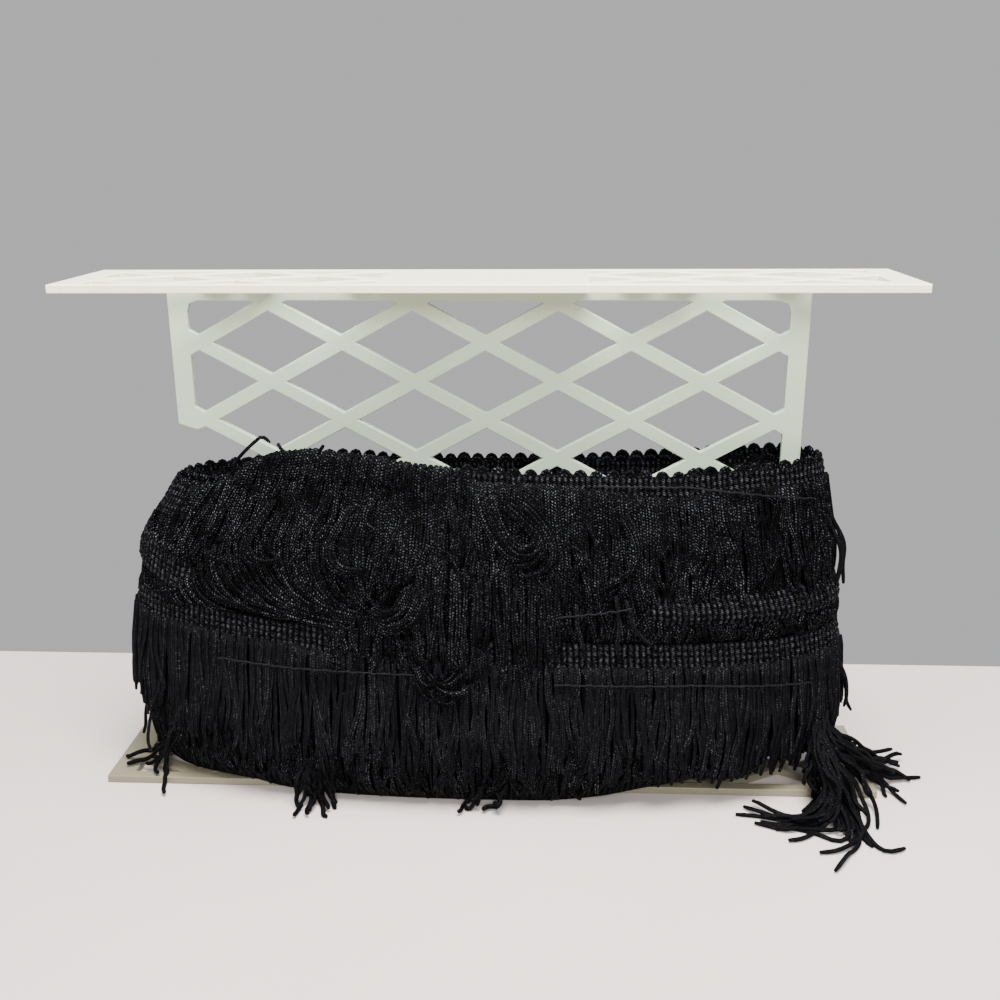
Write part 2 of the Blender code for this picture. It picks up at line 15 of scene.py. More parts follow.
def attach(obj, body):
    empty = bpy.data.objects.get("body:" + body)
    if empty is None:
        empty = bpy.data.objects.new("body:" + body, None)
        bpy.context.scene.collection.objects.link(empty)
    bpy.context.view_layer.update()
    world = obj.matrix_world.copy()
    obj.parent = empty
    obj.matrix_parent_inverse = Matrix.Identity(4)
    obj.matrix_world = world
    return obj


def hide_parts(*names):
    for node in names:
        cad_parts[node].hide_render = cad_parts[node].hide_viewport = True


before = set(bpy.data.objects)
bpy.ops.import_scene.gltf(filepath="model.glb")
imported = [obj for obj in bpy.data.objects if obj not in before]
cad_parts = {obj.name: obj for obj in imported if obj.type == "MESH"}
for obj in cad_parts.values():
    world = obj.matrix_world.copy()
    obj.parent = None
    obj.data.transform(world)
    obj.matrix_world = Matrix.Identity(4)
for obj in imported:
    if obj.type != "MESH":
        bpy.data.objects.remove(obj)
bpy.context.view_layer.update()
print("solids:", sorted(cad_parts))

# %% [markdown]
# ## Camera
#
# The photograph was taken from a little above the reel. The camera's place and turns were
# worked out from the straight edges of the reel, so that the render and the photograph can
# be laid over each other. With another lens the flanges' edges would run at other angles.

# %% Camera at the photograph's angle
CAMERA_PLACE = (0.0299, -0.4777, 0.2808)
CAMERA_YAW = math.radians(2.888)
CAMERA_PITCH = math.radians(17.379)
CAMERA_ROLL = math.radians(-0.370)
CAMERA_LENS = 39.8

camera = bpy.data.objects.new("camera", bpy.data.cameras.new("camera"))
bpy.context.scene.collection.objects.link(camera)
camera.data.lens = CAMERA_LENS
camera.data.sensor_width = 36
camera.data.clip_start = 0.01
camera.matrix_world = (
    Matrix.Translation(CAMERA_PLACE)
    @ Matrix.Rotation(CAMERA_YAW, 4, "Z")
    @ Matrix.Rotation(math.pi / 2 - CAMERA_PITCH, 4, "X")
    @ Matrix.Rotation(CAMERA_ROLL, 4, "Z")
)
bpy.context.scene.camera = camera
print("camera above the table, mm:", round(CAMERA_PLACE[2] * 1000))

# %% [markdown]
# ## Shader maths
#
# Each finish is a small sum of waves and noises. One class wraps a socket, so that a line
# such as `1 - ridge * 0.5` adds the Math nodes by itself and reads like the sum it is.


# %% A socket that Python's operators work on
class Shade:
    """One socket of a material. Operators on it add Math nodes to the same material."""

    def __init__(self, socket):
        self.socket = socket
        self.tree = socket.id_data

    def node(self, kind, settings, values, output=0):
        """Add a node of any type: its settings first, then values or links for its sockets."""
        new = self.tree.nodes.new(kind)
        for name, value in settings.items():
            setattr(new, name, value)
        for name, value in values.items():
            if isinstance(value, Shade):
                self.tree.links.new(value.socket, new.inputs[name])
            else:
                new.inputs[name].default_value = value
        return Shade(new.outputs[output])

    def part(self, name):
        """Another output of the same node."""
        return Shade(self.socket.node.outputs[name])

    def math(self, operation, first, second=0.0):
        """A Math node."""
        return self.node("ShaderNodeMath", {"operation": operation}, {0: first, 1: second})

    def __add__(self, other):
        return self.math("ADD", self, other)

    def __radd__(self, other):
        return self.math("ADD", other, self)

    def __sub__(self, other):
        return self.math("SUBTRACT", self, other)

    def __rsub__(self, other):
        return self.math("SUBTRACT", other, self)

    def __mul__(self, other):
        return self.math("MULTIPLY", self, other)

    def __rmul__(self, other):
        return self.math("MULTIPLY", other, self)

    def __gt__(self, other):
        return self.math("GREATER_THAN", self, other)

    def __abs__(self):
        return self.math("ABSOLUTE", self)

    def whole(self):
        """This value rounded down."""
        return self.math("FLOOR", self)

    def wave(self):
        """A soft wave from 0 to 1 for each whole step of this value."""
        return self.math("SINE", self * (2 * math.pi)) * 0.5 + 0.5

    def at_most(self, limit):
        """This value, cut off above a limit."""
        return self.math("MINIMUM", self, limit)

    def at_least(self, limit):
        """This value, cut off below a limit."""
        return self.math("MAXIMUM", self, limit)


# %% [markdown]
# ## Parts that the finishes share
#
# Every finish starts as a Principled shader. Constant values are set on its own sockets, and
# what changes over the surface is linked in. Noise on Object coordinates stays on the piece
# when the reel is moved, which suits dust, wear and the painted specks of glint on yarn.


# %% Materials, noise, colours and bumps
def new_finish(name, roughness, gleam=0.5):
    """A Principled material, its shader node and a Shade to start its nodes from."""
    material = bpy.data.materials.new(name)
    material.use_nodes = True
    shader = material.node_tree.nodes["Principled BSDF"]
    shader.inputs["Roughness"].default_value = roughness
    shader.inputs["Specular IOR Level"].default_value = gleam
    return material, shader, Shade(shader.outputs[0])


def feed(shader, socket_name, value):
    """Link a value that varies to one of the shader's sockets."""
    shader.id_data.links.new(value.socket, shader.inputs[socket_name])


def noise(start, scale, detail, place=None):
    """Soft noise, this many waves in a metre of the piece or in a unit of another map."""
    if place is None:
        place = start.node("ShaderNodeTexCoord", {}, {}).part("Object")
    return start.node("ShaderNodeTexNoise", {}, {"Vector": place, "Scale": scale, "Detail": detail})


def blend_colours(start, share, dark, light):
    """Mix two colours by a share that varies over the surface."""
    return start.node(
        "ShaderNodeMix", {"data_type": "RGBA"}, {0: share, 6: dark, 7: light}, output=2
    )


def bump(start, height, distance, strength):
    """A Bump node for a height from 0 to 1."""
    return start.node(
        "ShaderNodeBump", {}, {"Height": height, "Distance": distance, "Strength": strength}
    )


# %% [markdown]
# ## Floor and light
#
# The reel stands on a pale table that ends a hand's width behind it, with a grey room
# beyond. Black yarn shows only what it reflects, so the lights are large and soft: one hangs
# above, one stands in front of the reel, and two weak ones fill the shade at the left and
# behind. Small lights would turn each stitch into a hard spark.

# %% Table
TABLE_BACK = 0.109
TABLE_LENGTH = 5.0
TABLE_DEPTH = 2.6
TABLE_DROP = 0.0001
bpy.ops.object.select_all(action="DESELECT")
bpy.ops.mesh.primitive_plane_add(size=1)
table = bpy.context.object
table.name = "table"
for corner in table.data.vertices:
    corner.co.x *= TABLE_LENGTH
    corner.co.y = TABLE_BACK - TABLE_DEPTH * (0.5 - corner.co.y)
    corner.co.z = -TABLE_DROP
material, shader, start = new_finish("pale table", 0.55)
mottle = noise(start, 6.0, 3.0)
linen_white = blend_colours(start, mottle, (0.50, 0.44, 0.42, 1), (0.56, 0.495, 0.475, 1))
feed(shader, "Base Color", linen_white)
table.data.materials.append(material)
print("table ends behind the reel's middle, mm:", round(TABLE_BACK * 1000))


# %% Soft studio lights
def soft_light(name, place, aim, size, power, colour):
    """A square area light that faces its aim."""
    data = bpy.data.lights.new(name, "AREA")
    data.shape = "SQUARE"
    data.size = size
    data.energy = power
    data.color = colour
    light = bpy.data.objects.new(name, data)
    light.location = place
    light.rotation_euler = (Vector(aim) - Vector(place)).to_track_quat("-Z", "Y").to_euler()
    bpy.context.scene.collection.objects.link(light)


soft_light("top_light", (0.05, -0.20, 0.90), (0.0, -0.08, 0.1), 0.5, 36, (1.0, 0.985, 0.965))
soft_light("left_fill", (-1.2, -0.7, 0.6), (0.0, 0.0, 0.1), 0.9, 5, (0.95, 0.97, 1.0))
soft_light("front_fill", (0.15, -1.4, 0.85), (0.0, 0.0, 0.1), 0.45, 26, (1.0, 0.99, 0.98))
soft_light("back_light", (0.5, 1.2, 1.1), (0.0, 0.0, 0.1), 0.8, 8, (0.97, 0.98, 1.0))
world = bpy.data.worlds.new("grey room")
world.use_nodes = True
world.node_tree.nodes["Background"].inputs["Color"].default_value = (0.52, 0.52, 0.53, 1)
world.node_tree.nodes["Background"].inputs["Strength"].default_value = 1.0
bpy.context.scene.world = world

# %% [markdown]
# ## Moulded plastic
#
# The reel is moulded in cream polystyrene. It has a satin gloss, a very fine orange peel,
# and it yellows and gathers dust in broad uneven patches, so the colour drifts a little. One
# function makes three plastics: the web's colour is greener and darker than the top's, partly
# its own tint and partly painted shade, and the lower flange's is much darker, which is
# painted shade for the little daylight that reaches it.


# %% Cream plastic
def plastic(name, pale, aged, gloss):
    """Plastic that drifts between its fresh and its aged colour, with specks of dust."""
    material, shader, start = new_finish(name, gloss)
    drift = noise(start, 14.0, 4.0)
    dust = (noise(start, 420.0, 2.0) > 0.72) * 0.35
    share = (drift * 1.6 - 0.35 + dust).at_most(1.0).at_least(0.0)
    feed(shader, "Base Color", blend_colours(start, share, pale, aged))
    feed(shader, "Roughness", drift * 0.18 + (gloss - 0.09))
    feed(shader, "Normal", bump(start, noise(start, 900.0, 1.0), 0.00004, 0.35))
    return material


# The web's greener, darker colours are partly its own tint and partly painted shade.
web_plastic = plastic("web plastic", (0.42, 0.51, 0.39, 1), (0.39, 0.46, 0.33, 1), 0.36)
flange_plastic = plastic("upper flange plastic", (0.88, 0.86, 0.66, 1), (0.82, 0.77, 0.54, 1), 0.28)
# The lower flange's dark colours are painted shade on the same cream plastic, with its real dust specks.
dust_and_shade_plastic = plastic("lower flange plastic", (0.18, 0.165, 0.115, 1), (0.15, 0.135, 0.09, 1), 0.40)
print("plastics:", [made.name for made in (web_plastic, flange_plastic, dust_and_shade_plastic)])

# %% [markdown]
# ## Reel
#
# The solids of the reel have sharp edges, but a moulding never does: its edges are rounded
# by the mould, and they catch the light. Each panel is copied from its solid, its loose
# triangles are merged, and a small bevel is cut along every sharp edge.

# %% Panels with moulded edges
MERGED = 0.00001
WEB_EDGE = 0.0005
FLANGE_EDGE = 0.0004


def only(piece):
    """Select this object alone and make it active."""
    bpy.ops.object.select_all(action="DESELECT")
    piece.select_set(True)
    bpy.context.view_layer.objects.active = piece


def settle(piece, slot_name, *nodes):
    """Let a finished piece ride with the reel, in the place of the solids that it stands for."""
    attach(piece, "root")
    if nodes:
        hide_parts(*nodes)
    print(piece.name, len(piece.data.polygons), "faces")


def copied(node, name):
    """A copy of a solid under a new name, selected alone."""
    piece = bpy.data.objects.new(name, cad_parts[node].data.copy())
    bpy.context.scene.collection.objects.link(piece)
    only(piece)
    return piece


def moulded(node, name, edge, material):
    """A copy of a solid panel with its edges rounded."""
    piece = copied(node, name)
    bpy.ops.object.mode_set(mode="EDIT")
    bpy.ops.mesh.select_all(action="SELECT")
    bpy.ops.mesh.remove_doubles(threshold=MERGED)
    bpy.ops.mesh.dissolve_limited(angle_limit=math.radians(1.0))
    bpy.ops.object.mode_set(mode="OBJECT")
    bevel = piece.modifiers.new("moulded edge", "BEVEL")
    bevel.width = edge
    bevel.use_clamp_overlap = False
    bevel.segments = 2
    bevel.limit_method = "ANGLE"
    bevel.angle_limit = math.radians(25)
    bpy.ops.object.modifier_apply(modifier=bevel.name)
    piece.data.materials.clear()
    piece.data.materials.append(material)
    settle(piece, "reel_plastic", node)


moulded("reel_web", "lattice_web", WEB_EDGE, web_plastic)
moulded("bottom_flange", "lower_flange", FLANGE_EDGE, dust_and_shade_plastic)
moulded("top_flange", "upper_flange", FLANGE_EDGE, flange_plastic)

# %% [markdown]
# ## Form of the winding
#
# Every turn of trim follows the same blunt oval, wider at the foot than at the rim. A place
# on it is a share of the way round, from the right end by way of the back, with a height
# and an outset from the surface. The tables repeat the solids' own sizes, in metres.

# %% Sizes of the winding
PLAN_POWER = 2.3
PLAN_LENGTH = 0.160
PLAN_DEPTH = 0.043
SECTIONS = np.array(
    [
        # height, reach to the left, reach to the right, half depth
        (0.001, 0.1500, 0.1400, 0.0405),
        (0.006, 0.1570, 0.1480, 0.0440),
        (0.015, 0.1610, 0.1550, 0.0450),
        (0.035, 0.1630, 0.1595, 0.0440),
        (0.065, 0.1635, 0.1595, 0.0430),
        (0.080, 0.1620, 0.1570, 0.0420),
        (0.095, 0.1600, 0.1530, 0.0410),
        (0.115, 0.1550, 0.1520, 0.0390),
        (0.130, 0.1465, 0.1490, 0.0360),
        (0.145, 0.1370, 0.1465, 0.0330),
        (0.160, 0.1290, 0.1440, 0.0310),
    ]
)
TOP_EDGE = np.array(
    [
        # place along the reel, height of the top turn in front, and behind
        (-0.140, 0.146, 0.145),
        (-0.125, 0.152, 0.145),
        (-0.108, 0.159, 0.145),
        (-0.090, 0.161, 0.144),
        (-0.056, 0.159, 0.142),
        (-0.034, 0.156, 0.141),
        (0.008, 0.153, 0.141),
        (0.049, 0.152, 0.142),
        (0.091, 0.151, 0.145),
        (0.117, 0.153, 0.148),
        (0.143, 0.153, 0.152),
    ]
)
LOW_EDGE = np.array(
    [
        # place along the reel, height of the lower turn in front, and behind
        (-0.160, 0.094, 0.094),
        (-0.126, 0.091, 0.090),
        (-0.080, 0.087, 0.086),
        (-0.035, 0.082, 0.084),
        (0.050, 0.080, 0.082),
        (0.127, 0.078, 0.079),
        (0.155, 0.079, 0.079),
    ]
)
LOW_TIPS = np.array(
    [
        # place along the reel, height of the lower turn's strand ends
        (-0.160, 0.036),
        (-0.133, 0.030),
        (-0.108, 0.025),
        (-0.060, 0.021),
        (0.007, 0.020),
        (0.097, 0.018),
        (0.124, 0.020),
        (0.143, 0.024),
        (0.158, 0.034),
    ]
)
FOOT_EDGE = np.array(
    [
        # place along the reel, height of the winding's lower edge
        (-0.165, 0.0070),
        (-0.110, 0.0050),
        (-0.088, 0.0015),
        (0.034, 0.0015),
        (0.052, 0.0040),
        (0.074, 0.0090),
        (0.096, 0.0120),
        (0.114, 0.0160),
        (0.131, 0.0220),
        (0.160, 0.0320),
    ]
)
ROLL_HEIGHT = 0.021
ROLL_DEPTH = 0.0032
HEADING_HEIGHT = 0.014
print("heights of the winding, mm:", [round(z * 1000) for z in SECTIONS[:, 0]])


# %% Places on the winding
def blunt(value):
    """A cosine or sine made blunter for the oval."""
    return np.sign(value) * np.abs(value) ** (2 / PLAN_POWER)


turn_angles = np.linspace(0, 2 * math.pi, 1441)
turn_steps = np.hypot(
    np.diff(PLAN_LENGTH * blunt(np.cos(turn_angles))),
    np.diff(PLAN_DEPTH * blunt(np.sin(turn_angles))),
)
turn_lengths = np.concatenate([[0], np.cumsum(turn_steps)])
PLAN_ROUND = turn_lengths[-1]
turn_places = turn_lengths / PLAN_ROUND


def angle_at(place):
    """The angle of the oval at a share of the way round."""
    return np.interp(np.asarray(place) % 1.0, turn_places, turn_angles)


def along_reel(place):
    """How far along the reel a place lies."""
    return PLAN_LENGTH * blunt(np.cos(angle_at(place)))


def front_place(x):
    """The place on the front that lies this far along the reel."""
    places = np.linspace(0.5, 1.0, 721)
    return np.interp(x, along_reel(np.append(places[:-1], 0.99999)), places)


def on_winding(place, height, outset):
    """Points this far out from the winding's side."""
    angle = angle_at(place)
    height = np.asarray(height, dtype=float)
    left, right, depth = (np.interp(height, SECTIONS[:, 0], SECTIONS[:, k]) for k in (1, 2, 3))
    reach = np.where(np.cos(angle) > 0, right, left)
    x = (reach + outset) * blunt(np.cos(angle))
    y = (depth + outset) * blunt(np.sin(angle))
    return np.stack(np.broadcast_arrays(x, y, height), axis=-1)


def smoothed(share):
    """Ease from 0 to 1 with level ends."""
    share = np.clip(share, 0, 1)
    return share * share * (3 - 2 * share)


def edge_height(edge, place):
    """Height of a turn's edge, from its front and back columns."""
    x = along_reel(place)
    front = np.interp(x, edge[:, 0], edge[:, 1])
    back = np.interp(x, edge[:, 0], edge[:, -1])
    return front + smoothed(0.5 + 1.5 * np.sin(angle_at(place))) * (back - front)


def outward_at(place):
    """Level unit vectors that point away from the winding."""
    step, middle = 0.0008, 0.08
    ahead = on_winding(np.asarray(place) + step, middle, 0.0)
    behind = on_winding(np.asarray(place) - step, middle, 0.0)
    run = ahead - behind
    out = np.stack([run[..., 1], -run[..., 0], np.zeros_like(run[..., 0])], axis=-1)
    return out / np.linalg.norm(out, axis=-1, keepdims=True)


def over_roll(place, height):
    """How far strands at a height are pushed out by the roll at the right."""
    share = (height - edge_height(LOW_EDGE, place)) / ROLL_HEIGHT
    inside = np.sin(math.pi * np.clip(share, 0, 1))
    return ROLL_DEPTH * inside * smoothed((along_reel(place) - 0.030) / 0.040)


print("way round the winding, mm:", round(PLAN_ROUND * 1000))

# %% [markdown]
# ## Chainette yarn
#
# Chainette is a cord knitted as a tiny tube, so it shows two rows of slanting stitches with
# a groove between. The rayon is black. The faint blue glint on top of each stitch is painted
# into its colour as specks, with the crowns painted lighter and the grooves left darker, which
# is painted highlight and painted shade. Real knitted loops would need thousands of faces for
# each cord, so the stitches are drawn by the shader. They follow the cord's own map: its Y
# counts stitches along the cord, the fraction of its X runs round the cord, and the whole
# number in X tells the cords apart, so that some carry more painted glint than others.

# %% Black yarn with its stitches
STITCH = 0.00125
YARN_GLEAM = 0.02


def chain_place(start):
    """The map that runs round and along the yarn."""
    return start.node("ShaderNodeUVMap", {"uv_map": "chain"}, {})


def split(place):
    """The first two parts of a place on a map."""
    parts = place.node("ShaderNodeSeparateXYZ", {}, {0: place})
    return parts.part("X"), parts.part("Y")


def yarn(name, dark, light, relief, painted_glint):
    """Chained cord: two rows of slanting stitches, worn in patches, with painted specks of glint."""
    material, shader, start = new_finish(name, 0.52, YARN_GLEAM)
    across, along = split(chain_place(start))
    number = across.whole()
    own = start.node("ShaderNodeTexWhiteNoise", {"noise_dimensions": "1D"}, {"W": number})
    side = across - number - 0.5
    slant = along + abs(side) * 2.6 + (side > 0.0) * 0.5
    ridge = slant.wave()
    groove = (abs(side) * 14.0).at_most(1.0)
    stitch = ridge * ridge * (abs(side) * 4.4 - 0.25).wave() * groove
    worn = (noise(start, 90.0, 2.0) * 1.9 - 0.45).at_most(1.0).at_least(0.0)
    # Painted highlight: specks of glint on the stitch crowns, each crown painted a little lighter than
    # its groove, which is painted shade.
    painted_glint_speck = ((noise(start, 1300.0, 1.0) - 0.48) * 7.0).at_most(1.0).at_least(0.0)
    painted_shine = painted_glint_speck * (own * 1.1 + 0.35)
    painted_light_share = (stitch * worn * painted_shine * painted_glint + ridge * groove * worn * 0.03).at_most(1.0)
    feed(shader, "Base Color", blend_colours(start, painted_light_share, dark, light))
    feed(shader, "Roughness", 0.62 - stitch * worn * 0.26)
    feed(shader, "Normal", bump(start, stitch * (worn * 0.7 + 0.3), 0.0007, relief))
    return material


# Each yarn's second colour is the colour of its painted glint; the first is the yarn's own black.
band_yarn = yarn("band yarn", (0.0002, 0.0002, 0.0003, 1), (0.155, 0.160, 0.190, 1), 0.9, 1.0)
smooth_yarn = yarn("hanging yarn", (0.0020, 0.0020, 0.0026, 1), (0.115, 0.118, 0.138, 1), 0.7, 0.8)
tail_yarn = yarn("tail yarn", (0.0018, 0.0018, 0.0022, 1), (0.085, 0.087, 0.100, 1), 0.6, 0.4)
print("stitches in a strand of 45 mm:", round(0.045 / STITCH))

# %% [markdown]
# ## One strand
#
# All the strands are copies of one. A six sided cylinder gets rings along it, and its last
# ring is drawn in where the cord is cut. Its points are then read once, and every copy
# bends them along its own path. Six sides are enough under a smooth shading, and there are
# thousands of copies, so every face counts. Curled strands get more rings than hanging ones.

# %% Model the strand once
CUT_END = 0.72


def model_strand(rings):
    """A unit strand that stands on the origin, with this many rings of points."""
    bpy.ops.object.select_all(action="DESELECT")
    bpy.ops.mesh.primitive_cylinder_add(
        vertices=6, radius=1, depth=1, location=(0, 0, 0.5), end_fill_type="NGON"
    )
    strand = bpy.context.object
    bpy.ops.object.transform_apply(location=True, rotation=False, scale=False)
    bpy.ops.object.mode_set(mode="EDIT")
    bpy.ops.mesh.select_all(action="DESELECT")
    bpy.ops.mesh.select_mode(type="EDGE")
    bpy.ops.object.mode_set(mode="OBJECT")
    heights = [vertex.co.z for vertex in strand.data.vertices]
    for edge in strand.data.edges:
        edge.select = abs(heights[edge.vertices[0]] - heights[edge.vertices[1]]) > 0.5
    bpy.ops.object.mode_set(mode="EDIT")
    bpy.ops.mesh.subdivide(number_cuts=rings - 2)
    bpy.ops.object.mode_set(mode="OBJECT")
    for vertex in strand.data.vertices:
        if vertex.co.z > 0.999:
            vertex.co.x *= CUT_END
            vertex.co.y *= CUT_END
    return strand


def points_of(mesh):
    """The places of a mesh's points."""
    return np.array([vertex.co[:] for vertex in mesh.vertices])


def corners_of(mesh):
    """The point at each corner of each face."""
    return np.array([loop.vertex_index for loop in mesh.loops])


class Pattern:
    """The points, faces and map of a modelled piece, ready to be copied along paths."""

    def __init__(self, piece, rings):
        mesh = piece.data
        self.rings = rings
        self.points = points_of(mesh)
        self.loops = corners_of(mesh)
        self.starts = np.array([face.loop_start for face in mesh.polygons])
        self.sizes = np.array([face.loop_total for face in mesh.polygons])
        self.ring_of = np.rint(self.points[:, 2] * (rings - 1)).astype(int)
        x, y = self.points[self.loops, 0], self.points[self.loops, 1]
        around = np.arctan2(x, y) / (2 * math.pi) + 0.5
        middle = np.repeat([x[s : s + n].mean() for s, n in zip(self.starts, self.sizes)], self.sizes)
        at_seam = (np.abs(x) < 1e-4) & (y < 0)
        self.around = np.where(at_seam, np.where(middle < 0, 0.0, 1.0), around)
        bpy.data.objects.remove(piece)


strand = Pattern(model_strand(9), 9)
long_strand = Pattern(model_strand(15), 15)
floor_strand = Pattern(model_strand(25), 25)
for made in (strand, long_strand, floor_strand):
    print("faces in a strand of", made.rings, "rings:", len(made.sizes))

# %% [markdown]
# ## Laying strands
#
# A path gives a strand its line, and a direction says which way its stitches face. The
# copies of one group are joined into one mesh straight from arrays, because hundreds of
# separate objects would be slow to make and slow to draw. Chance comes from one generator
# with a fixed seed, so the trim is the same each time.

# %% Lay copies of a pattern along paths
SEED = 11
SEAM_GAP = 0.001
CORD_NUMBERS = 97
rng = np.random.default_rng(SEED)


def unit(vectors):
    """Vectors of length one."""
    return vectors / np.maximum(np.linalg.norm(vectors, axis=-1, keepdims=True), 1e-12)


def resampled(path, count):
    """The same lines with this many points, evenly spaced."""
    path = np.asarray(path, dtype=float)
    steps = np.linalg.norm(np.diff(path, axis=1), axis=-1)
    reached = np.concatenate([np.zeros((len(path), 1)), np.cumsum(steps, axis=1)], axis=1)
    result = np.empty((len(path), count, 3))
    for number, (line, way) in enumerate(zip(path, reached)):
        places = np.linspace(0, way[-1], count)
        for axis in range(3):
            result[number, :, axis] = np.interp(places, way, line[:, axis])
    return result


def laid(name, pattern, paths, facing, width, depth, material):
    """Join copies of a pattern laid along paths into one piece."""
    facing = np.asarray(facing, dtype=float)
    if facing.ndim == 3:
        facing = facing[:, np.rint(np.linspace(0, facing.shape[1] - 1, pattern.rings)).astype(int)]
    paths = resampled(paths, pattern.rings)
    count = len(paths)
    run = unit(np.gradient(paths, axis=1))
    facing = np.broadcast_to(facing, paths.shape)
    side = unit(np.cross(run, facing))
    out = np.cross(side, run)
    rings = pattern.ring_of
    width = np.broadcast_to(np.asarray(width, dtype=float).reshape(-1, 1, 1), (count, 1, 1))
    depth = np.broadcast_to(np.asarray(depth, dtype=float).reshape(-1, 1, 1), (count, 1, 1))
    points = (
        paths[:, rings]
        - side[:, rings] * pattern.points[:, 0, None] * width / 2
        + out[:, rings] * pattern.points[:, 1, None] * depth / 2
    )
    lengths = np.concatenate(
        [np.zeros((count, 1)), np.cumsum(np.linalg.norm(np.diff(paths, axis=1), axis=-1), axis=1)],
        axis=1,
    )
    along = lengths[:, rings][:, pattern.loops] / STITCH + rng.uniform(0, 1, (count, 1))
    around = SEAM_GAP + (1 - 2 * SEAM_GAP) * pattern.around
    around = around + rng.integers(0, CORD_NUMBERS, (count, 1))
    piece = from_arrays(name, points, pattern, np.stack([around, along], axis=-1))
    piece.data.materials.append(material)
    settle(piece, "black_yarn")
    return piece


def lay_map(mesh, values):
    """Give a mesh the map that its stitches follow, in place of any other."""
    while mesh.uv_layers:
        mesh.uv_layers.remove(mesh.uv_layers[0])
    layer = mesh.uv_layers.new(name="chain")
    layer.data.foreach_set("uv", values.astype(np.float32).ravel())


def from_arrays(name, points, pattern, chain_map):
    """One mesh object from the points of many copies."""
    count, each = points.shape[:2]
    shift = np.arange(count)[:, None] * each
    loop_shift = np.arange(count)[:, None] * len(pattern.loops)
    mesh = bpy.data.meshes.new(name)
    mesh.vertices.add(count * each)
    mesh.vertices.foreach_set("co", points.astype(np.float32).ravel())
    mesh.loops.add(count * len(pattern.loops))
    mesh.loops.foreach_set("vertex_index", (pattern.loops + shift).astype(np.int32).ravel())
    mesh.polygons.add(count * len(pattern.sizes))
    mesh.polygons.foreach_set("loop_start", (pattern.starts + loop_shift).astype(np.int32).ravel())
    mesh.polygons.foreach_set("use_smooth", np.ones(count * len(pattern.sizes), dtype=bool))
    mesh.update(calc_edges=True)
    lay_map(mesh, chain_map)
    mesh.validate()
    piece = bpy.data.objects.new(name, mesh)
    bpy.context.scene.collection.objects.link(piece)
    return piece


# %% [markdown]
# ## The wound core
#
# Under the outer turns lie all the inner ones, of which only glimpses show. The solid of
# the winding is copied, merged and given a map that runs round it in strand widths, so that
# the same stitches cover it. Single strands would be lost here behind the outer rows.

# %% Core
STRAND_PITCH = 0.0024
MEAN_RIGHT, MEAN_LEFT, MEAN_DEPTH = 0.155, 0.160, 0.041


def place_of(points):
    """The share of the way round at which points lie."""
    x = np.where(points[:, 0] > 0, points[:, 0] / MEAN_RIGHT, points[:, 0] / MEAN_LEFT)
    y = points[:, 1] / MEAN_DEPTH
    power = PLAN_POWER / 2
    angle = np.arctan2(np.sign(y) * np.abs(y) ** power, np.sign(x) * np.abs(x) ** power)
    return np.interp(angle % (2 * math.pi), turn_angles, turn_places)


def sealed(piece, gap):
    """Merge points that lie this close, and turn all faces outwards and smooth."""
    only(piece)
    bpy.ops.object.mode_set(mode="EDIT")
    bpy.ops.mesh.select_all(action="SELECT")
    bpy.ops.mesh.remove_doubles(threshold=gap)
    bpy.ops.mesh.normals_make_consistent(inside=False)
    bpy.ops.mesh.faces_shade_smooth()
    bpy.ops.object.mode_set(mode="OBJECT")


core = copied("wound_trim", "wound_core")
sealed(core, MERGED)
core_points = points_of(core.data)
core_loops = corners_of(core.data)
core_places = place_of(core_points)[core_loops]
for face in core.data.polygons:
    span = slice(face.loop_start, face.loop_start + face.loop_total)
    if np.ptp(core_places[span]) > 0.5:
        core_places[span] = np.where(core_places[span] < 0.5, core_places[span] + 1, core_places[span])
strands_along = core_places * PLAN_ROUND / STRAND_PITCH
lay_map(core.data, np.stack([strands_along, core_points[core_loops, 2] / STITCH], axis=-1))


def packed_yarn(name):
    """Rows of strands side by side, for a surface that many strands cover."""
    material, shader, start = new_finish(name, 0.6, YARN_GLEAM)
    across, along = split(chain_place(start))
    strand_round = across.wave()
    stitch = (along + across * 0.5).wave() * strand_round
    dark, light = (0.0003, 0.0003, 0.0004, 1), (0.03, 0.03, 0.036, 1)
    # Painted highlight and painted shade: each stitch is painted lighter on its crown and darker between
    # the strands.
    feed(shader, "Base Color", blend_colours(start, stitch * stitch * 0.5, dark, light))
    feed(shader, "Normal", bump(start, strand_round * 0.7 + stitch * 0.3, 0.0012, 0.9))
    return material


core.data.materials.clear()
core.data.materials.append(packed_yarn("packed yarn"))
settle(core, "black_yarn", "wound_trim")

# %% [markdown]
# ## Headings
#
# The heading is the woven gimp band that holds the strands. Its cords lie in rows, bound at
# even steps, so it looks beaded, and its upper edge runs in small scallops. Modelling each
# cord would make hundreds of thousands of faces, so a grid is wrapped into a closed band
# along each turn, and its rows are raised into beads. The grid has a whole number of faces
# for each bead, or the beads would beat against it.

# %% Woven heading
BEAD_PITCH = 0.0026
BEAD_ROWS = 5
BEAD_HEIGHT = 0.0008
BEADS_ROUND = round(PLAN_ROUND / BEAD_PITCH)
LEVELS_A_ROW = 3
BAND_OUT = 0.0009


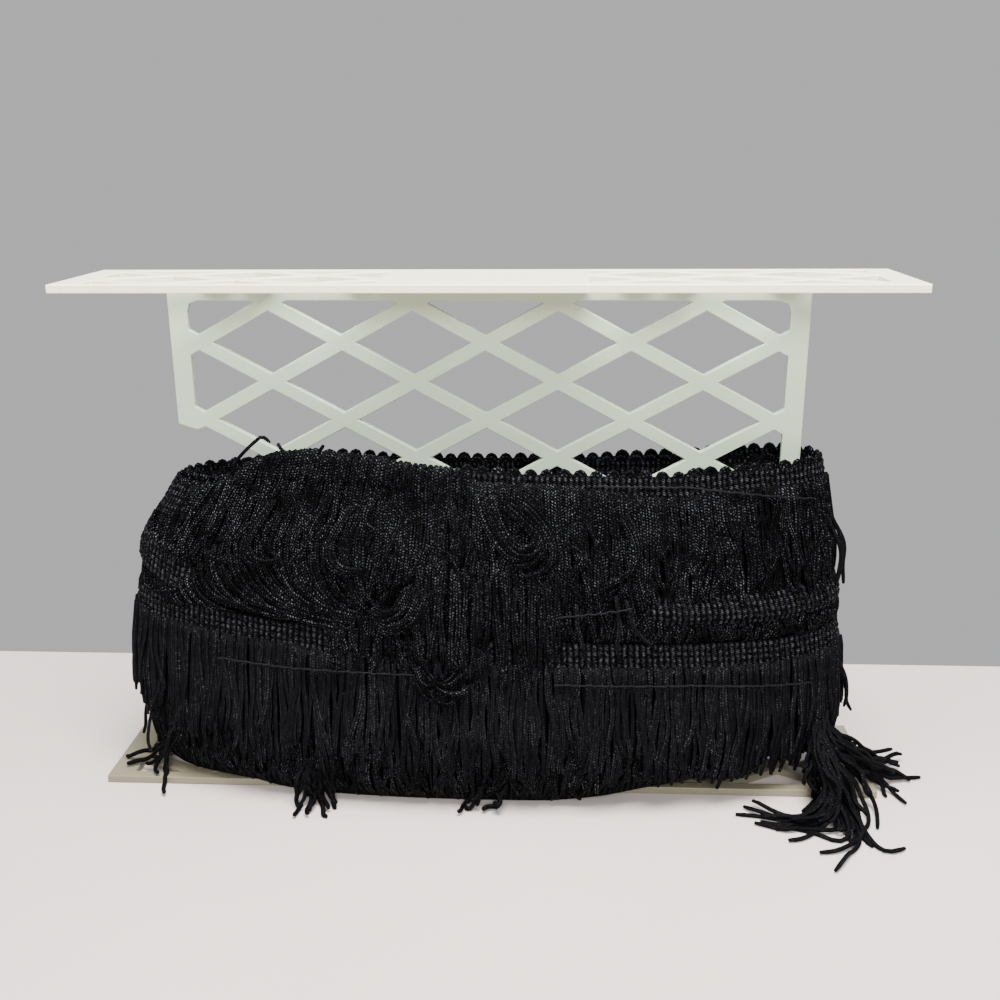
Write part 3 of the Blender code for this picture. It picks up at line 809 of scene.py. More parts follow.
def heading(name, edge, line, *nodes, height=HEADING_HEIGHT, rows=BEAD_ROWS, fine=3, thick=0.0016):
    """A closed band with beads on both faces. The line turns place, height and depth to points."""
    levels = LEVELS_A_ROW * rows + 1
    lap_count = 2 * levels
    bpy.ops.object.select_all(action="DESELECT")
    bpy.ops.mesh.primitive_grid_add(x_subdivisions=fine * BEADS_ROUND, y_subdivisions=lap_count)
    band = bpy.context.object
    band.name = name
    flat = points_of(band.data)
    place = (flat[:, 0] + 1) / 2
    lap = np.rint((flat[:, 1] + 1) / 2 * lap_count).astype(int) % lap_count
    front = lap < levels
    share = np.where(front, lap, lap_count - 1 - lap) / (levels - 1)
    row = share * rows
    z = edge(place) - height * (1 - share)
    beads = 0.5 + 0.5 * np.cos(2 * math.pi * place * BEADS_ROUND)
    ragged = 1 + 0.35 * np.sin(place * 611 + row * 2.3) * np.sin(place * 237 - row)
    relief = BEAD_HEIGHT * (0.3 + 0.7 * np.abs(np.sin(math.pi * row))) * (0.2 + 0.8 * beads) * ragged
    points = line(place, z, np.where(front, thick + relief, -relief * 0.5))
    band.data.vertices.foreach_set("co", points.astype(np.float32).ravel())
    bead_map = np.stack([row, place * BEADS_ROUND * 2], axis=-1)
    lay_map(band.data, bead_map[corners_of(band.data)])
    sealed(band, MERGED / 2)
    band.data.materials.append(gimp)
    settle(band, "black_yarn", *nodes)


def heading_yarn(name):
    """Bound rows of gimp: each bead has a soft crown with slanting threads, and a glint painted into its
    colour.
    """
    material, shader, start = new_finish(name, 0.5, YARN_GLEAM)
    chain = chain_place(start)
    across, along = split(chain)
    bead = (along * 0.5 + 0.25).wave()
    crown = bead * ((across - 0.25).wave() * 0.65 + 0.35)
    thread = (along * 0.5 + across * 3.0).wave()
    painted_shine = ((noise(start, 900.0, 1.0) - 0.38) * 5.0).at_most(1.0).at_least(0.0)
    worn = (noise(start, 0.9, 2.0, chain) * 2.2 - 0.55).at_most(1.0).at_least(0.12)
    # Painted highlight: bead crowns and their threads are painted lighter in glinting patches.
    painted_light_share = (crown * (thread * 0.85 + 0.15) * painted_shine * worn + crown * crown * 0.02).at_most(1.0)
    dark, light = (0.0002, 0.0002, 0.0003, 1), (0.088, 0.090, 0.108, 1)
    feed(shader, "Base Color", blend_colours(start, painted_light_share, dark, light))
    feed(shader, "Roughness", 0.62 - crown * 0.2)
    feed(shader, "Normal", bump(start, thread * 0.3 + crown * 0.7, 0.0010, 0.9))
    return material


gimp = heading_yarn("gimp")


def top_edge(place):
    """The rim, which sags by a few millimetres at the left end."""
    return edge_height(TOP_EDGE, place) - 0.0045 * smoothed((-0.112 - along_reel(place)) / 0.03)


def low_edge(place):
    """The upper edge of the lower turn."""
    return edge_height(LOW_EDGE, place)


def out_by(base):
    """Lines that lie this far out from the winding; the base may change with the place."""
    return lambda place, height, depth: on_winding(
        place, height, depth + (base(place) if callable(base) else base)
    )


heading("top_heading", top_edge, out_by(BAND_OUT), "fringe_band_top")
heading("low_heading", low_edge, out_by(BAND_OUT), "fringe_band_low")

# %% [markdown]
# ## Inner turns
#
# Inside the rim the edges of earlier turns stand like the pages of a book, each a little
# lower, round the web. Only their upper rows show, so they are made lower than the rest,
# and with fewer faces. The same function makes them, on ovals that close in on the web.

# %% Inner turns round the web
INNER_LEVEL = 0.146
INNER_TURNS = (
    # share of the way from web to rim, drop below the rim
    (0.86, 0.0020),
    (0.66, 0.0045),
    (0.46, 0.0060),
    (0.26, 0.0080),
)


def inner_line(share):
    """Lines on an oval that lies between the web and the rim."""

    def line(place, height, depth):
        rim = on_winding(place, INNER_LEVEL, depth)
        rim[..., 0] = rim[..., 0] * (0.962 + 0.038 * share)
        rim[..., 1] = rim[..., 1] * share + np.sign(rim[..., 1]) * 0.002 * (1 - share)
        rim[..., 2] = height
        return rim

    return line


def inner_edge(drop):
    """Edges that rise and fall half as much as the rim, and lie this far below it."""
    return lambda place: edge_height(TOP_EDGE, place) * 0.55 + 0.45 * INNER_LEVEL - drop


for number, (share, drop) in enumerate(INNER_TURNS):
    name = f"inner_turn_{number + 1}"
    heading(name, inner_edge(drop), inner_line(share), height=0.0112, rows=4, fine=2, thick=0.0012)

# %% [markdown]
# ## Scallops
#
# Along the heading's upper edge the outermost cord comes up in a small loop at each scallop.
# Each loop is one strand bent over in an arc, and a second, lower arc fills it. Loops can't
# come out of the grid, which has no holes, so they are laid on its edge as strands.

# %% Scallop loops
SCALLOP_PITCH = 0.0074
SCALLOP_WIDE = 0.0052


def scallops(name, edge, line, rise, start=0.0, end=1.0, shown=lambda place: place >= 0):
    """Pairs of arcs along an edge, from one place to another."""
    count = int(PLAN_ROUND * (end - start) / SCALLOP_PITCH)
    centre = start + (end - start) * (np.arange(count) + 0.5) / count
    centre = centre[shown(centre)] + rng.uniform(-0.0004, 0.0004, shown(centre).sum())
    count = len(centre)
    centre = np.repeat(centre, 2)[:, None]
    size = np.tile([1.0, 0.5], count)[:, None] * rng.uniform(0.85, 1.12, (2 * count, 1))
    turn = np.linspace(-0.12, 1.12, strand.rings) * math.pi
    place = centre - np.cos(turn) * SCALLOP_WIDE * size / 2 / PLAN_ROUND
    height = edge(place) - 0.0014 + rise * size * np.sin(turn) * 1.3
    laid(name, strand, line(place, height, BAND_OUT), outward_at(place), 0.0024, 0.0021, band_yarn)


def bare_rim(place):
    """At the left front the strands run over the rim, so it shows no scallops there."""
    x = along_reel(place)
    return (place < 0.5) | (x < -0.118) | (x > -0.014)


def at_ends(place):
    """In the middle the upper strands hide the lower turn's scallops."""
    return abs(along_reel(place)) > 0.135


scallops("top_scallops", top_edge, out_by(BAND_OUT), 0.0026, shown=bare_rim)
scallops("low_scallops", low_edge, out_by(BAND_OUT), 0.0014, shown=at_ends)
share, drop = INNER_TURNS[0]
scallops("inner_scallops", inner_edge(drop), inner_line(share), 0.0022, shown=bare_rim)

# %% [markdown]
# ## Hanging strands
#
# Under each heading hang rows of strands, each a little behind the next. They start close
# together, drift sideways and end unevenly. Where the trim was wound askew they sweep. A
# hair simulation could settle them, but thousands of cords pressed on each other take too
# long, and a real strand's place is easier to hold with a path. A function works it out
# from where the strand starts, how far it drifts and how far it stands out.

# %% Paths of hanging strands
CORD = 0.0022
THIN_CORD = 0.0020
FLATNESS = 0.78
HANGING_POINTS = 13


def hanging(name, places, top, tip, outset, shift, material, width=CORD, wander=0.0008, bow=1.8):
    """Strands from a height on the winding to their tips; outset is root, middle and tip."""
    count = len(places)
    share = np.linspace(0, 1, HANGING_POINTS)
    shift = np.broadcast_to(shift, (count,))[:, None]
    swept = np.clip(np.abs(shift) / 0.030, 0, 1)
    drop = share * (1 - swept) + (1 - (1 - share) ** 1.9) * swept
    ripple = wander * np.sin(
        2 * math.pi * (share * rng.uniform(0.4, 1.3, (count, 1)) + rng.uniform(0, 1, (count, 1)))
    )
    lean = rng.normal(0, wander * 0.9, (count, 1)) * share
    place = places[:, None] + (shift * share**bow + ripple * share**0.5 + lean) / PLAN_ROUND
    height = top[:, None] + (tip - top)[:, None] * drop
    at_left_end = smoothed((0.006 - abs(places - 0.5)[:, None] + 0.05) / 0.03)
    thinner = 1 - 0.6 * at_left_end * smoothed((top - 0.09) / 0.02)[:, None]
    root, middle, end = (np.broadcast_to(o, (count,))[:, None] * thinner for o in outset)
    out = root * (1 - share) ** 2 + 2 * middle * share * (1 - share) + end * share**2
    out = out + rng.uniform(-0.0003, 0.0003, (count, 1)) * share + over_roll(place, height) * 0.9
    paths = on_winding(place, height, out)
    thick = width * rng.uniform(0.85, 1.12, count)
    laid(name, strand, paths, outward_at(place), thick, thick * FLATNESS, material)


# %% Where strands start and drift
def row_of(pitch, start=0.0, end=1.0, jitter=0.25):
    """Places a pitch apart, each moved a little."""
    count = int(PLAN_ROUND * (end - start) / pitch)
    return start + (end - start) * (np.arange(count) + 0.5 + rng.uniform(-jitter, jitter, count)) / count


def gathered(places, pull, waves):
    """Shifts that draw strands together in uneven locks."""
    phase = rng.uniform(0, 1, 3)
    return pull * sum(
        np.sin(2 * math.pi * (places * waves * scale + phase[number])) / (number + 1)
        for number, scale in enumerate((1.0, 1.7, 2.9))
    )


def over_rim(places):
    """One where the strands run over the rim, at the left front, and none elsewhere."""
    x = along_reel(places)
    in_front = smoothed(-np.sin(angle_at(places)) * 3)
    return smoothed((0.000 - x) / 0.02) * smoothed((x + 0.128) / 0.012) * in_front


# %% [markdown]
# ## Strands of the top turn
#
# Three rows hang from the top heading, from the innermost and most even to the outermost,
# which has fewer strands that stray more. At the left front the strands were pushed up over
# the rim, so they start above the heading's edge there and hide its scallops.

# %% Rows under the top heading
TOP_STRAND = 0.043
TOP_ROWS = (
    # pitch, outset, rise of the tips, pull into locks, waves of it, wander, spread of the tips
    (0.0026, 0.0014, 0.000, 0.0008, 60, 0.0006, 0.006),
    (0.0030, 0.0022, 0.003, 0.0026, 50, 0.0015, 0.006),
    (0.0040, 0.0032, 0.006, 0.0044, 42, 0.0024, 0.010),
)
for number, (pitch, out, rise, pull, waves, wander, spread) in enumerate(TOP_ROWS):
    places = row_of(pitch)
    cover = over_rim(places)
    x = along_reel(places)
    blurred = smoothed((0.080 - x) / 0.050) * (places > 0.5) * (1 - cover)
    root = edge_height(TOP_EDGE, places) - 0.0078 + 0.0074 * cover + 0.0040 * blurred
    root = root + rng.uniform(-0.0006, 0.0006, len(places))
    over_fan = smoothed((x + 0.128) / 0.02) * smoothed((-0.048 - x) / 0.02) * (places > 0.5)
    lowest = edge_height(LOW_EDGE, places) + 0.014 + 0.018 * over_fan
    lowest = lowest + rng.uniform(0, 0.006, len(places))
    full = edge_height(TOP_EDGE, places) - HEADING_HEIGHT - TOP_STRAND
    tip = np.maximum(full + rise + rng.uniform(-spread, spread * 0.5, len(places)), lowest)
    hanging(
        f"top_strands_{number + 1}",
        places,
        root,
        tip,
        (out + 0.0010, out + 0.0014, out + 0.0012),
        gathered(places, pull, waves),
        band_yarn,
        wander=wander,
    )

# %% Strands pushed up over the rim
cap_places = row_of(0.0026, front_place(-0.122), front_place(-0.006))
cap_turn = np.linspace(0, 1, HANGING_POINTS)[None, :]
cap_out = -0.0012 + 0.0056 * smoothed(cap_turn * 1.9)
cap_height = edge_height(TOP_EDGE, cap_places)[:, None] + np.interp(
    cap_turn, (0, 0.2, 0.4, 1.0), (-0.003, 0.0004, 0.0004, -0.0105)
)
cap_place = np.broadcast_to(cap_places[:, None], cap_height.shape)
laid(
    "strands_over_rim",
    strand,
    on_winding(cap_place, cap_height, cap_out),
    outward_at(cap_place) + np.array([0, 0, 0.6]),
    0.0024,
    THIN_CORD,
    band_yarn,
)

# %% [markdown]
# ## Stray strands
#
# Handling has pulled some strands of the top turn askew, so they cross the others. They are
# one more row, with few strands that start at any height, drift far and stand out more.

# %% Strays across the top turn
stray_places = np.concatenate(
    [front_place(rng.uniform(-0.115, 0.140, 46)), rng.uniform(0.02, 0.48, 22)]
)
stray_top = edge_height(TOP_EDGE, stray_places) - rng.uniform(0.012, 0.030, len(stray_places))
hanging(
    "stray_strands",
    stray_places,
    stray_top,
    stray_top - rng.uniform(0.016, 0.030, len(stray_places)),
    (0.0034, 0.0060, 0.0044),
    rng.normal(0, 0.0062, len(stray_places)),
    band_yarn,
    width=THIN_CORD,
    wander=0.0024,
    bow=1.2,
)

# %% [markdown]
# ## Turn between the bands
#
# Between the two bands an earlier turn shows. At the right it bulges as a roll, and its
# strands are drawn over the roll and tucked in under it. A closed heading is laid all round,
# and where no roll shows it sinks into the winding, so that it has no visible end.

# %% Roll and the strands round it
ROLL_BAND = 0.0165


def roll_edge(place):
    """The upper edge of the turn between the bands."""
    return edge_height(LOW_EDGE, place) + 0.0225


def rolled(x):
    """One where the turn bulges, at the right and round the right end, and none elsewhere."""
    return smoothed((x - 0.052) / 0.030)


def roll_out(place):
    """How far out the roll's heading lies."""
    return -0.006 + 0.0074 * rolled(along_reel(place))


def roll_line(place, height, depth):
    """The band bulges in the middle of its height and turns in at its foot."""
    share = np.clip((roll_edge(place) - height) / ROLL_BAND, 0, 1)
    bulge = ROLL_DEPTH * np.sin(math.pi * share) - 0.0020 * share**3
    return on_winding(place, height, depth + roll_out(place) + bulge)


heading("roll_heading", roll_edge, roll_line, height=ROLL_BAND, rows=6)

for number, out in enumerate((0.0006, 0.0016)):
    places = row_of(0.0027)
    low = edge_height(LOW_EDGE, places)
    lowered = 0.0185 * rolled(along_reel(places))
    top = low + 0.0270 - lowered + rng.uniform(-0.002, 0.002, len(places))
    tip = low - 0.002 + rng.uniform(0.0, 0.0030, len(places))
    hanging(
        f"roll_strands_{number + 1}",
        places,
        top,
        tip,
        (out, out + 0.0008, out * 0.4),
        gathered(places, 0.0026, 45),
        band_yarn,
        wander=0.0014,
    )

# %% [markdown]
# ## Lower band
#
# The lower turn hangs straight. Its cords are older and smoother and show fewer stitches.
# Free cords cling together in locks, so each row is pulled together in waves, and the
# outermost row stands off at its tips, where the locks cast shadows.

# %% Strands of the lower band
LOWEST_TIP = 0.0055


def right_sag(x):
    """How far the fringe sags at the right, below the solids' own edge."""
    return 0.0085 * smoothed((x - 0.085) / 0.035)


def low_tip(x):
    """Height of the lower turn's strand ends."""
    return np.interp(x, LOW_TIPS[:, 0], LOW_TIPS[:, 1]) - right_sag(x)


LOW_ROWS = (
    # pitch, outset, rise of the tips, pull into locks
    (0.0026, 0.0012, 0.000, 0.0008),
    (0.0031, 0.0020, 0.002, 0.0028),
    (0.0043, 0.0030, 0.004, 0.0042),
)
for number, (pitch, out, rise, pull) in enumerate(LOW_ROWS):
    places = row_of(pitch)
    root = edge_height(LOW_EDGE, places) - 0.0095 - rng.uniform(0, 0.001, len(places))
    tip = low_tip(along_reel(places)) + rng.uniform(-0.003, 0.009, len(places)) + rise
    tip = np.maximum(tip + 0.004 * np.sin(places * 150 + number), LOWEST_TIP)
    hanging(
        f"low_strands_{number + 1}",
        places,
        root,
        tip,
        (out + 0.0008, out + 0.0018, out + 0.0042),
        gathered(places, pull, 55),
        smooth_yarn,
        wander=0.0009 + 0.0004 * number,
    )

# %% [markdown]
# ## Foot of the winding
#
# Below the lower band the ends of the inner turns show, curled and pressed askew by the
# weight on them. They follow the foot of the winding and stay above the flange, or above
# the table where the winding bulges out past the flange.

# %% Curled ends along the foot
for number, (out, material) in enumerate(((0.0006, smooth_yarn), (0.0014, band_yarn))):
    places = row_of(0.0029)
    x = along_reel(places)
    foot = np.interp(x, FOOT_EDGE[:, 0], FOOT_EDGE[:, 1]) - right_sag(x)
    clear = np.where(abs(x) > 0.06, 0.0048, 0.0022)
    tip = np.maximum(foot + 0.0012 + rng.uniform(0, 0.005, len(places)), clear)
    hanging(
        f"foot_strands_{number + 1}",
        places,
        low_tip(x) + 0.012 + rng.uniform(0, 0.006, len(places)),
        tip,
        (out, out + 0.0012, out * 0.6),
        gathered(places, 0.0052, 38) + rng.normal(0, 0.0026, len(places)),
        material,
        width=THIN_CORD,
        wander=0.0024,
    )

# %% [markdown]
# ## The turn at the left end
#
# A turn that was wound askew comes round the left end below the rim. Its heading dips in
# under the top turn's strands, and its own strands sweep to the right in a fan of arcs. The
# fan is the hanging function again, with each strand drifting towards one gathering point.

# %% Askew turn and its scallops
ASKEW_TOP = 0.140


def askew_edge(place):
    """The edge falls as the turn comes round the left end from the back to the front."""
    fall = smoothed((place - 0.42) / 0.17) * smoothed((0.96 - place) / 0.2)
    return ASKEW_TOP - 0.032 * fall


def askew_out(place):
    """The turn shows only round the left end, and dips into the winding elsewhere."""
    shows = smoothed((place - 0.40) / 0.03) * smoothed((0.585 - place) / 0.03)
    return -0.005 + 0.0076 * shows


heading("askew_heading", askew_edge, out_by(askew_out))
scallops("askew_scallops", askew_edge, out_by(askew_out), 0.0020, 0.425, 0.565)

# %% Fan of arcs
FAN_START = 0.440
FAN_END = front_place(-0.052)
FAN_GOAL = front_place(-0.046)
for number, out in enumerate((0.0030, 0.0042)):
    places = row_of(0.0029, FAN_START, FAN_END)
    x = along_reel(places)
    in_fan = smoothed((x + 0.138) / 0.030) * (places > 0.5)
    start_z = (askew_edge(places) - 0.010) * (1 - in_fan) + 0.130 * in_fan
    sweep = np.clip((FAN_GOAL - places) * PLAN_ROUND * 0.92, 0.004, 0.062)
    sweep = sweep * rng.uniform(0.86, 1.05, len(places))
    shift = 0.006 + (sweep - 0.006) * in_fan + rng.normal(0, 0.0015, len(places))
    end_x = along_reel(places + shift / PLAN_ROUND)
    above = np.interp(shift, (0.004, 0.060), (0.0135, 0.0030)) * in_fan - 0.003 * (1 - in_fan)
    tip = np.interp(end_x, LOW_EDGE[:, 0], LOW_EDGE[:, 1]) + above
    tip = tip + rng.uniform(-0.001, 0.003, len(places))
    hanging(
        f"fan_{number + 1}",
        places,
        start_z,
        tip,
        (out - 0.0006, out + 0.0008, out - 0.0010 * (1 - in_fan)),
        shift,
        band_yarn,
        width=THIN_CORD,
        wander=0.0006,
        bow=1.9,
    )

# %% [markdown]
# ## Strands that hang over
#
# In the middle of the front long strands of the top turn hang over the lower heading, and
# one bunch of them loops back up. Each group is a few strands on top of the rows below, so
# their outsets grow in the order in which they lie.

# %% Long strands over the lower heading
for number, out in enumerate((0.0052, 0.0064)):
    places = row_of(0.0029, front_place(-0.026), front_place(0.034))
    x = along_reel(places)
    root = edge_height(TOP_EDGE, places) - 0.040 + rng.uniform(-0.006, 0.004, len(places))
    tip = 0.064 + 0.010 * ((x - 0.004) / 0.030) ** 2 + rng.uniform(-0.006, 0.006, len(places))
    hanging(
        f"over_strands_{number + 1}",
        places,
        root,
        tip,
        (out - 0.0016, out, out - 0.0012),
        gathered(places, 0.0016, 70),
        band_yarn,
        wander=0.0012,
    )

# %% Draped and single strands
DRAPED = 26
draped_x = np.linspace(-0.066, -0.026, DRAPED) + rng.uniform(-0.001, 0.001, DRAPED)
hanging(
    "draped_strands",
    front_place(draped_x),
    rng.uniform(0.092, 0.098, DRAPED),
    rng.uniform(0.066, 0.079, DRAPED),
    (0.0030, 0.0056, 0.0046),
    rng.normal(0.001, 0.0020, DRAPED),
    band_yarn,
    width=THIN_CORD,
    wander=0.0012,
)
SINGLES = np.array(
    [
        # place along the reel, heights of root and tip, drift
        (0.0405, 0.0995, 0.0760, 0.0010),
        (0.0575, 0.1030, 0.0740, 0.0004),
        (0.0615, 0.1010, 0.0800, 0.0090),
    ]
)
single_x, single_top, single_tip, single_drift = SINGLES.T
hanging(
    "single_strands",
    front_place(single_x),
    single_top,
    single_tip,
    (0.0054, 0.0062, 0.0058),
    single_drift,
    smooth_yarn,
    width=0.0019,
)

# %% Bunch that loops back up
LOOPS = 8
loop_share = np.linspace(0, 1, 21)[None, :]
loop_start = rng.uniform(-0.029, -0.019, (LOOPS, 1))
loop_width = rng.uniform(0.008, 0.019, (LOOPS, 1))
loop_drop = rng.uniform(0.004, 0.0105, (LOOPS, 1)) * np.sin(math.pi * loop_share) ** 0.7
loop_z = rng.uniform(0.0655, 0.0715, (LOOPS, 1)) - 0.0030 * loop_share - loop_drop
loop_place = front_place(loop_start + loop_width * loop_share)
loop_out = rng.uniform(0.0044, 0.0064, (LOOPS, 1)) + 0.0022 * np.sin(math.pi * loop_share)
laid(
    "looped_bunch",
    long_strand,
    on_winding(loop_place, loop_z, loop_out),
    outward_at(loop_place),
    THIN_CORD,
    THIN_CORD * 0.9,
    band_yarn,
)

# %% [markdown]
# ## Keeper threads
#
# Thin threads are tied round the turns to hold them on the reel. They bite slightly into
# the strands, so they are laid just proud of them. One thread is a chain of short strand
# copies that overlap, because a copy has too few rings to follow the whole front.

# %% Keeper threads
THREAD = 0.0008
THREAD_POINTS = 90
LINK_STEP = 6
thread_yarn, thread_shader, start = new_finish("keeper thread", 0.6, 0.05)
twist = noise(start, 700.0, 1.0)
worn_grey = blend_colours(start, twist, (0.002, 0.002, 0.003, 1), (0.009, 0.009, 0.011, 1))
feed(thread_shader, "Base Color", worn_grey)


def thread(name, line_x, line_z, outset):
    """A thin thread along the front through points of place and height."""
    x = np.linspace(line_x[0], line_x[-1], THREAD_POINTS)
    z = np.interp(x, line_x, line_z) + 0.00012 * np.sin(x * 740) + 0.0001 * np.sin(x * 1310)
    place = front_place(x)
    points = on_winding(place, z, outset + 0.0003 * np.sin(x * 1500) + over_roll(place, z))
    rings = strand.rings
    firsts = range(0, THREAD_POINTS - rings, LINK_STEP)
    links = np.stack([points[first : first + rings] for first in firsts])
    laid(name, strand, links, outward_at(place)[:rings], THREAD, THREAD, thread_yarn)


thread("top_keeper", (0.050, 0.091, 0.116, 0.151), (0.1490, 0.1478, 0.1440, 0.1385), 0.0062)
thread("low_keeper_left", (-0.112, -0.080, -0.020), (0.0685, 0.0670, 0.0665), 0.0052)
thread("low_keeper_right", (0.030, 0.090, 0.145), (0.0630, 0.0610, 0.0555), 0.0052)
thread("middle_keeper", (0.032, 0.045, 0.064), (0.0945, 0.0960, 0.0985), 0.0078)

# %% [markdown]
# ## Curled strands
#
# A few strands of the top turn have sprung back up in a hook, and others curl round a
# hollow where the fan ends. Each follows a line of places along the reel and heights. A
# smooth curve through a few points is enough for that, and it is used again for the tail.

# %% Curves through a few points
CURVE_POINTS = 25
FINE_POINTS = 41


def curve_through(points, count=CURVE_POINTS):
    """A smooth line through points, evenly stepped between them."""
    points = np.asarray(points, dtype=float)
    padded = np.vstack([2 * points[0] - points[1], points, 2 * points[-1] - points[-2]])
    line = []
    for t in np.linspace(0, len(points) - 1, count):
        k = min(int(t), len(points) - 2)
        f = t - k
        a, b, c, d = padded[k : k + 4]
        bend = (2 * a - 5 * b + 4 * c - d) * f**2 + (3 * b - a - 3 * c + d) * f**3
        line.append(0.5 * (2 * b + (c - a) * f + bend))
    return np.array(line)


# %% Hooked and hollow strands
CURLED = (
    # points along the reel and up, in metres
    [(-0.001, 0.146), (0.001, 0.138), (0.006, 0.128), (0.014, 0.120), (0.023, 0.121), (0.028, 0.128)],
    [(0.003, 0.145), (0.006, 0.136), (0.010, 0.128), (0.016, 0.123), (0.022, 0.125), (0.026, 0.132)],
    [(0.011, 0.141), (0.017, 0.136), (0.024, 0.129), (0.026, 0.122), (0.022, 0.117), (0.013, 0.116)],
    [(0.018, 0.142), (0.024, 0.137), (0.030, 0.128), (0.031, 0.120), (0.026, 0.114), (0.018, 0.112)],
    [(-0.022, 0.104), (-0.024, 0.096), (-0.030, 0.089), (-0.038, 0.087), (-0.043, 0.090)],
    [(-0.025, 0.105), (-0.027, 0.098), (-0.032, 0.091), (-0.039, 0.089), (-0.044, 0.092)],
    [(-0.028, 0.106), (-0.030, 0.099), (-0.034, 0.094), (-0.040, 0.091), (-0.045, 0.094)],
    [(-0.031, 0.106), (-0.033, 0.101), (-0.036, 0.096), (-0.041, 0.094), (-0.046, 0.096)],
    [(-0.060, 0.140), (-0.064, 0.131), (-0.066, 0.121), (-0.060, 0.113), (-0.051, 0.112)],
    [(-0.098, 0.140), (-0.101, 0.130), (-0.103, 0.121), (-0.097, 0.114), (-0.088, 0.115)],
    [(0.062, 0.136), (0.066, 0.127), (0.066, 0.118), (0.061, 0.112), (0.053, 0.108)],
)
BESIDE = (0.0014, 0, 0.0009)
hooked = np.array([curve_through([(x, 0.0, z) for x, z in points]) for points in CURLED])
hooked = np.concatenate([hooked + np.multiply(BESIDE, step) for step in (-1, 0, 1)])
hook_place = front_place(hooked[..., 0])
hook_out = 0.0054 + 0.0008 * np.sin(np.linspace(0, math.pi, CURVE_POINTS))
hook_out = hook_out + rng.uniform(-0.0005, 0.0005, (len(hooked), 1))
laid(
    "curled_strands",
    long_strand,
    on_winding(hook_place, hooked[..., 2], hook_out),
    outward_at(hook_place),
    THIN_CORD,
    0.0017,
    band_yarn,
)

# %% [markdown]
# ## Loose tail
#
# The trim's free end drops off the right end of the winding over the flange. Its heading
# twists on the way down, and its strands splay on the floor in bunches, curled at the tips.
# The strands were followed one by one from where they leave the winding to their tips, as
# chance alone would give an even spray. Shorter copies near each one fill the bunch, and
# all of them lie on what is below.

